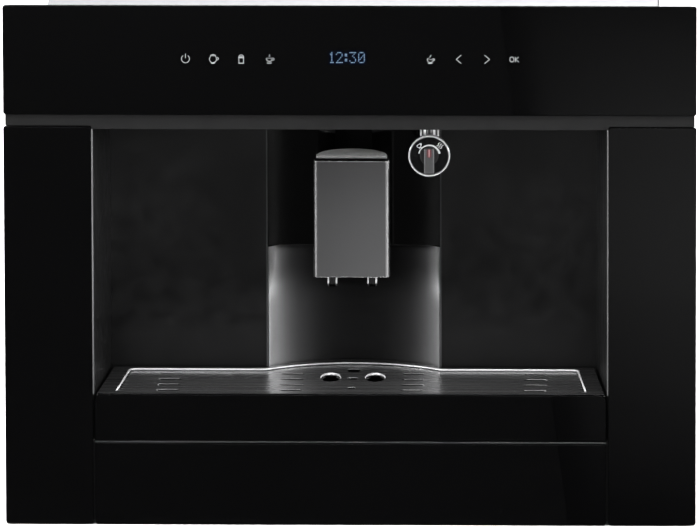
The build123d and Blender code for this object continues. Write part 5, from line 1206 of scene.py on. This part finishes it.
class COFFEE_OT_stage(Step, bpy.types.Operator):
    """Set the camera, the pale floor, the softboxes and the room's light"""

    bl_idname = "coffee.stage"
    bl_label = "Studio"

    def execute(self, context):
        stage = context.scene.coffee_stage
        self.camera(context, stage)
        self.floor()
        for name, place, target, size, setting, share in SOFTBOXES:
            self.softbox(name, place, target, size, getattr(stage, setting) * share)
        self.graded_card(context, stage)
        self.room(context)
        return {"FINISHED"}

    def camera(self, context, stage):
        """The camera looks at the middle of the front glass from a little above and to the right."""
        low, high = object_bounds()
        target = Vector((0.0, low.y, (low.z + high.z) / 2 + stage.aim))
        flat, rise = math.cos(stage.elevation), math.sin(stage.elevation)
        back = Vector((math.sin(stage.azimuth) * flat, -math.cos(stage.azimuth) * flat, rise))
        data = bpy.data.cameras.new("camera")
        data.sensor_width = 36.0
        data.lens = data.sensor_width * stage.distance / stage.framed_width
        data.clip_end = 100.0
        camera = bpy.data.objects.new("camera", data)
        camera.location = target + back * stage.distance
        camera.rotation_mode = "QUATERNION"
        level = Quaternion((0.0, 0.0, 1.0), -stage.roll)
        camera.rotation_quaternion = (-back).to_track_quat("-Z", "Y") @ level
        context.scene.collection.objects.link(camera)
        context.scene.camera = camera

    def floor(self):
        """A wide pale floor that the gloss surfaces don't mirror."""
        mesh = bmesh.new()
        bmesh.ops.create_circle(mesh, cap_ends=True, segments=96, radius=40.0)
        paper = Finish("floor_paper", (0.80, 0.80, 0.80), 0.9)
        paper.shade(paper.noise(3.0), 0.99, 1.01)
        floor = mesh_object("floor", mesh, paper.material)
        floor.visible_glossy = False
        floor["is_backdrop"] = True

    def softbox(self, name, place, target, size, power):
        """A rectangular light that the camera doesn't see, turned to its target."""
        data = bpy.data.lights.new(name, "AREA")
        data.shape = "RECTANGLE"
        data.size, data.size_y = size
        data.energy = power
        lamp = bpy.data.objects.new(name, data)
        lamp.location = place
        lamp.rotation_mode = "QUATERNION"
        lamp.rotation_quaternion = (Vector(target) - Vector(place)).to_track_quat("-Z", "Z")
        lamp.visible_camera = False
        lamp.visible_diffuse = name not in GLOSS_ONLY
        bpy.context.scene.collection.objects.link(lamp)

    def graded_card(self, context, stage):
        """A card of graded light that only the gloss sees, mirrored in the right side of the front glass."""
        eye = context.scene.camera.location
        share = CARD_REACH / (GLASS_FACE - eye.y)

        def mirrored(x, z):
            """Where the card meets what the camera sees mirrored at x, z on the glass."""
            return Vector((x + (x - eye.x) * share, GLASS_FACE - CARD_REACH, z + (z - eye.z) * share))

        left = [mirrored(CARD_LEFT + CARD_LEAN * (GLASS_SEAM - z), z) for z in (CARD_BOTTOM, CARD_TOP)]
        right = [mirrored(CARD_RIGHT, z) for z in (CARD_TOP, CARD_BOTTOM)]
        mesh = bmesh.new()
        mesh.faces.new([mesh.verts.new(corner) for corner in left + right])
        light = Finish("card_light", (0.0, 0.0, 0.0), 1.0).set(Emission_Color=(1.0, 1.0, 1.0, 1.0))
        height = light.along("Z")
        rise = light.curve(height, [(mirrored(0.0, z).z, value) for z, value in CARD_RISE])
        edge = mirrored(CARD_LEFT + CARD_LEAN * GLASS_SEAM, 0.0).x
        inward = light.maths("ADD", light.along("X", edge), light.maths("MULTIPLY", height, CARD_LEAN))
        both = light.maths("MULTIPLY", rise, light.curve(inward, CARD_SPREAD))
        light.feed("Emission Strength", light.maths("MULTIPLY", both, stage.glow))
        card = mesh_object("graded_card", mesh, light.material)
        card.visible_camera = card.visible_diffuse = card.visible_shadow = card.visible_transmission = False
        card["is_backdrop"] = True

    def room(self, context):
        """A white surround for the camera, and for all else a room that is darker below the horizon."""
        world = bpy.data.worlds.new("studio_room")
        context.scene.world = world
        world.use_nodes = True
        tree = world.node_tree
        tree.nodes.clear()
        place = add_node(tree, "ShaderNodeTexCoord").outputs["Generated"]
        upward = add_node(tree, "ShaderNodeSeparateXYZ", {0: place}).outputs["Z"]
        share = add_node(tree, "ShaderNodeMapRange", {"Value": upward, "From Min": -1.0}).outputs[0]
        ramp = add_node(tree, "ShaderNodeValToRGB", {"Fac": share})
        for stop, (position, light) in zip(ramp.color_ramp.elements, ROOM_LIGHT):
            stop.position = position
            stop.color = (*light, 1.0)
        dim = add_node(tree, "ShaderNodeBackground", {"Color": ramp.outputs["Color"]}).outputs[0]
        white = add_node(tree, "ShaderNodeBackground", {"Color": (1.0, 1.0, 1.0, 1.0)}).outputs[0]
        seen = add_node(tree, "ShaderNodeLightPath").outputs["Is Camera Ray"]
        mixed = add_node(tree, "ShaderNodeMixShader", {"Fac": seen, 1: dim, 2: white}).outputs[0]
        add_node(tree, "ShaderNodeOutputWorld", {"Surface": mixed})
        context.scene.view_settings.view_transform = "Standard"


class COFFEE_PT_sidebar(bpy.types.Panel):
    """Lists the settings and the steps that dress the machine"""

    bl_idname = "COFFEE_PT_sidebar"
    bl_label = "Coffee machine"
    bl_space_type = "VIEW_3D"
    bl_region_type = "UI"
    bl_category = "Coffee machine"

    def draw(self, context):
        layout = self.layout
        for group in ("coffee_finish", "coffee_print", "coffee_stage"):
            settings = getattr(context.scene, group)
            box = layout.box()
            for name in settings.bl_rna.properties.keys():
                if name not in ("rna_type", "name"):
                    box.prop(settings, name)
        for step in STEPS:
            layout.operator(step.bl_idname)


STEPS = (
    COFFEE_OT_front_finish,
    COFFEE_OT_bay_finish,
    COFFEE_OT_housing_finish,
    COFFEE_OT_inner_finish,
    COFFEE_OT_touch_symbols,
    COFFEE_OT_clock,
    COFFEE_OT_dial_marks,
    COFFEE_OT_tray_lips,
    COFFEE_OT_top_marks,
    COFFEE_OT_stage,
)
GROUPS = {"coffee_finish": FinishSettings, "coffee_print": PrintSettings, "coffee_stage": StageSettings}


def register():
    for kind in (*GROUPS.values(), *STEPS, COFFEE_PT_sidebar):
        bpy.utils.register_class(kind)
    for name, kind in GROUPS.items():
        setattr(bpy.types.Scene, name, PointerProperty(type=kind))


def unregister():
    for name in GROUPS:
        delattr(bpy.types.Scene, name)
    for kind in (COFFEE_PT_sidebar, *reversed(STEPS), *reversed(GROUPS.values())):
        bpy.utils.unregister_class(kind)


def main():
    """Dress the loaded frame step by step."""
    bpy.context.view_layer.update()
    register()
    for step in STEPS:
        area, name = step.bl_idname.split(".")
        getattr(getattr(bpy.ops, area), name)()


if __name__ == "__main__":
    main()
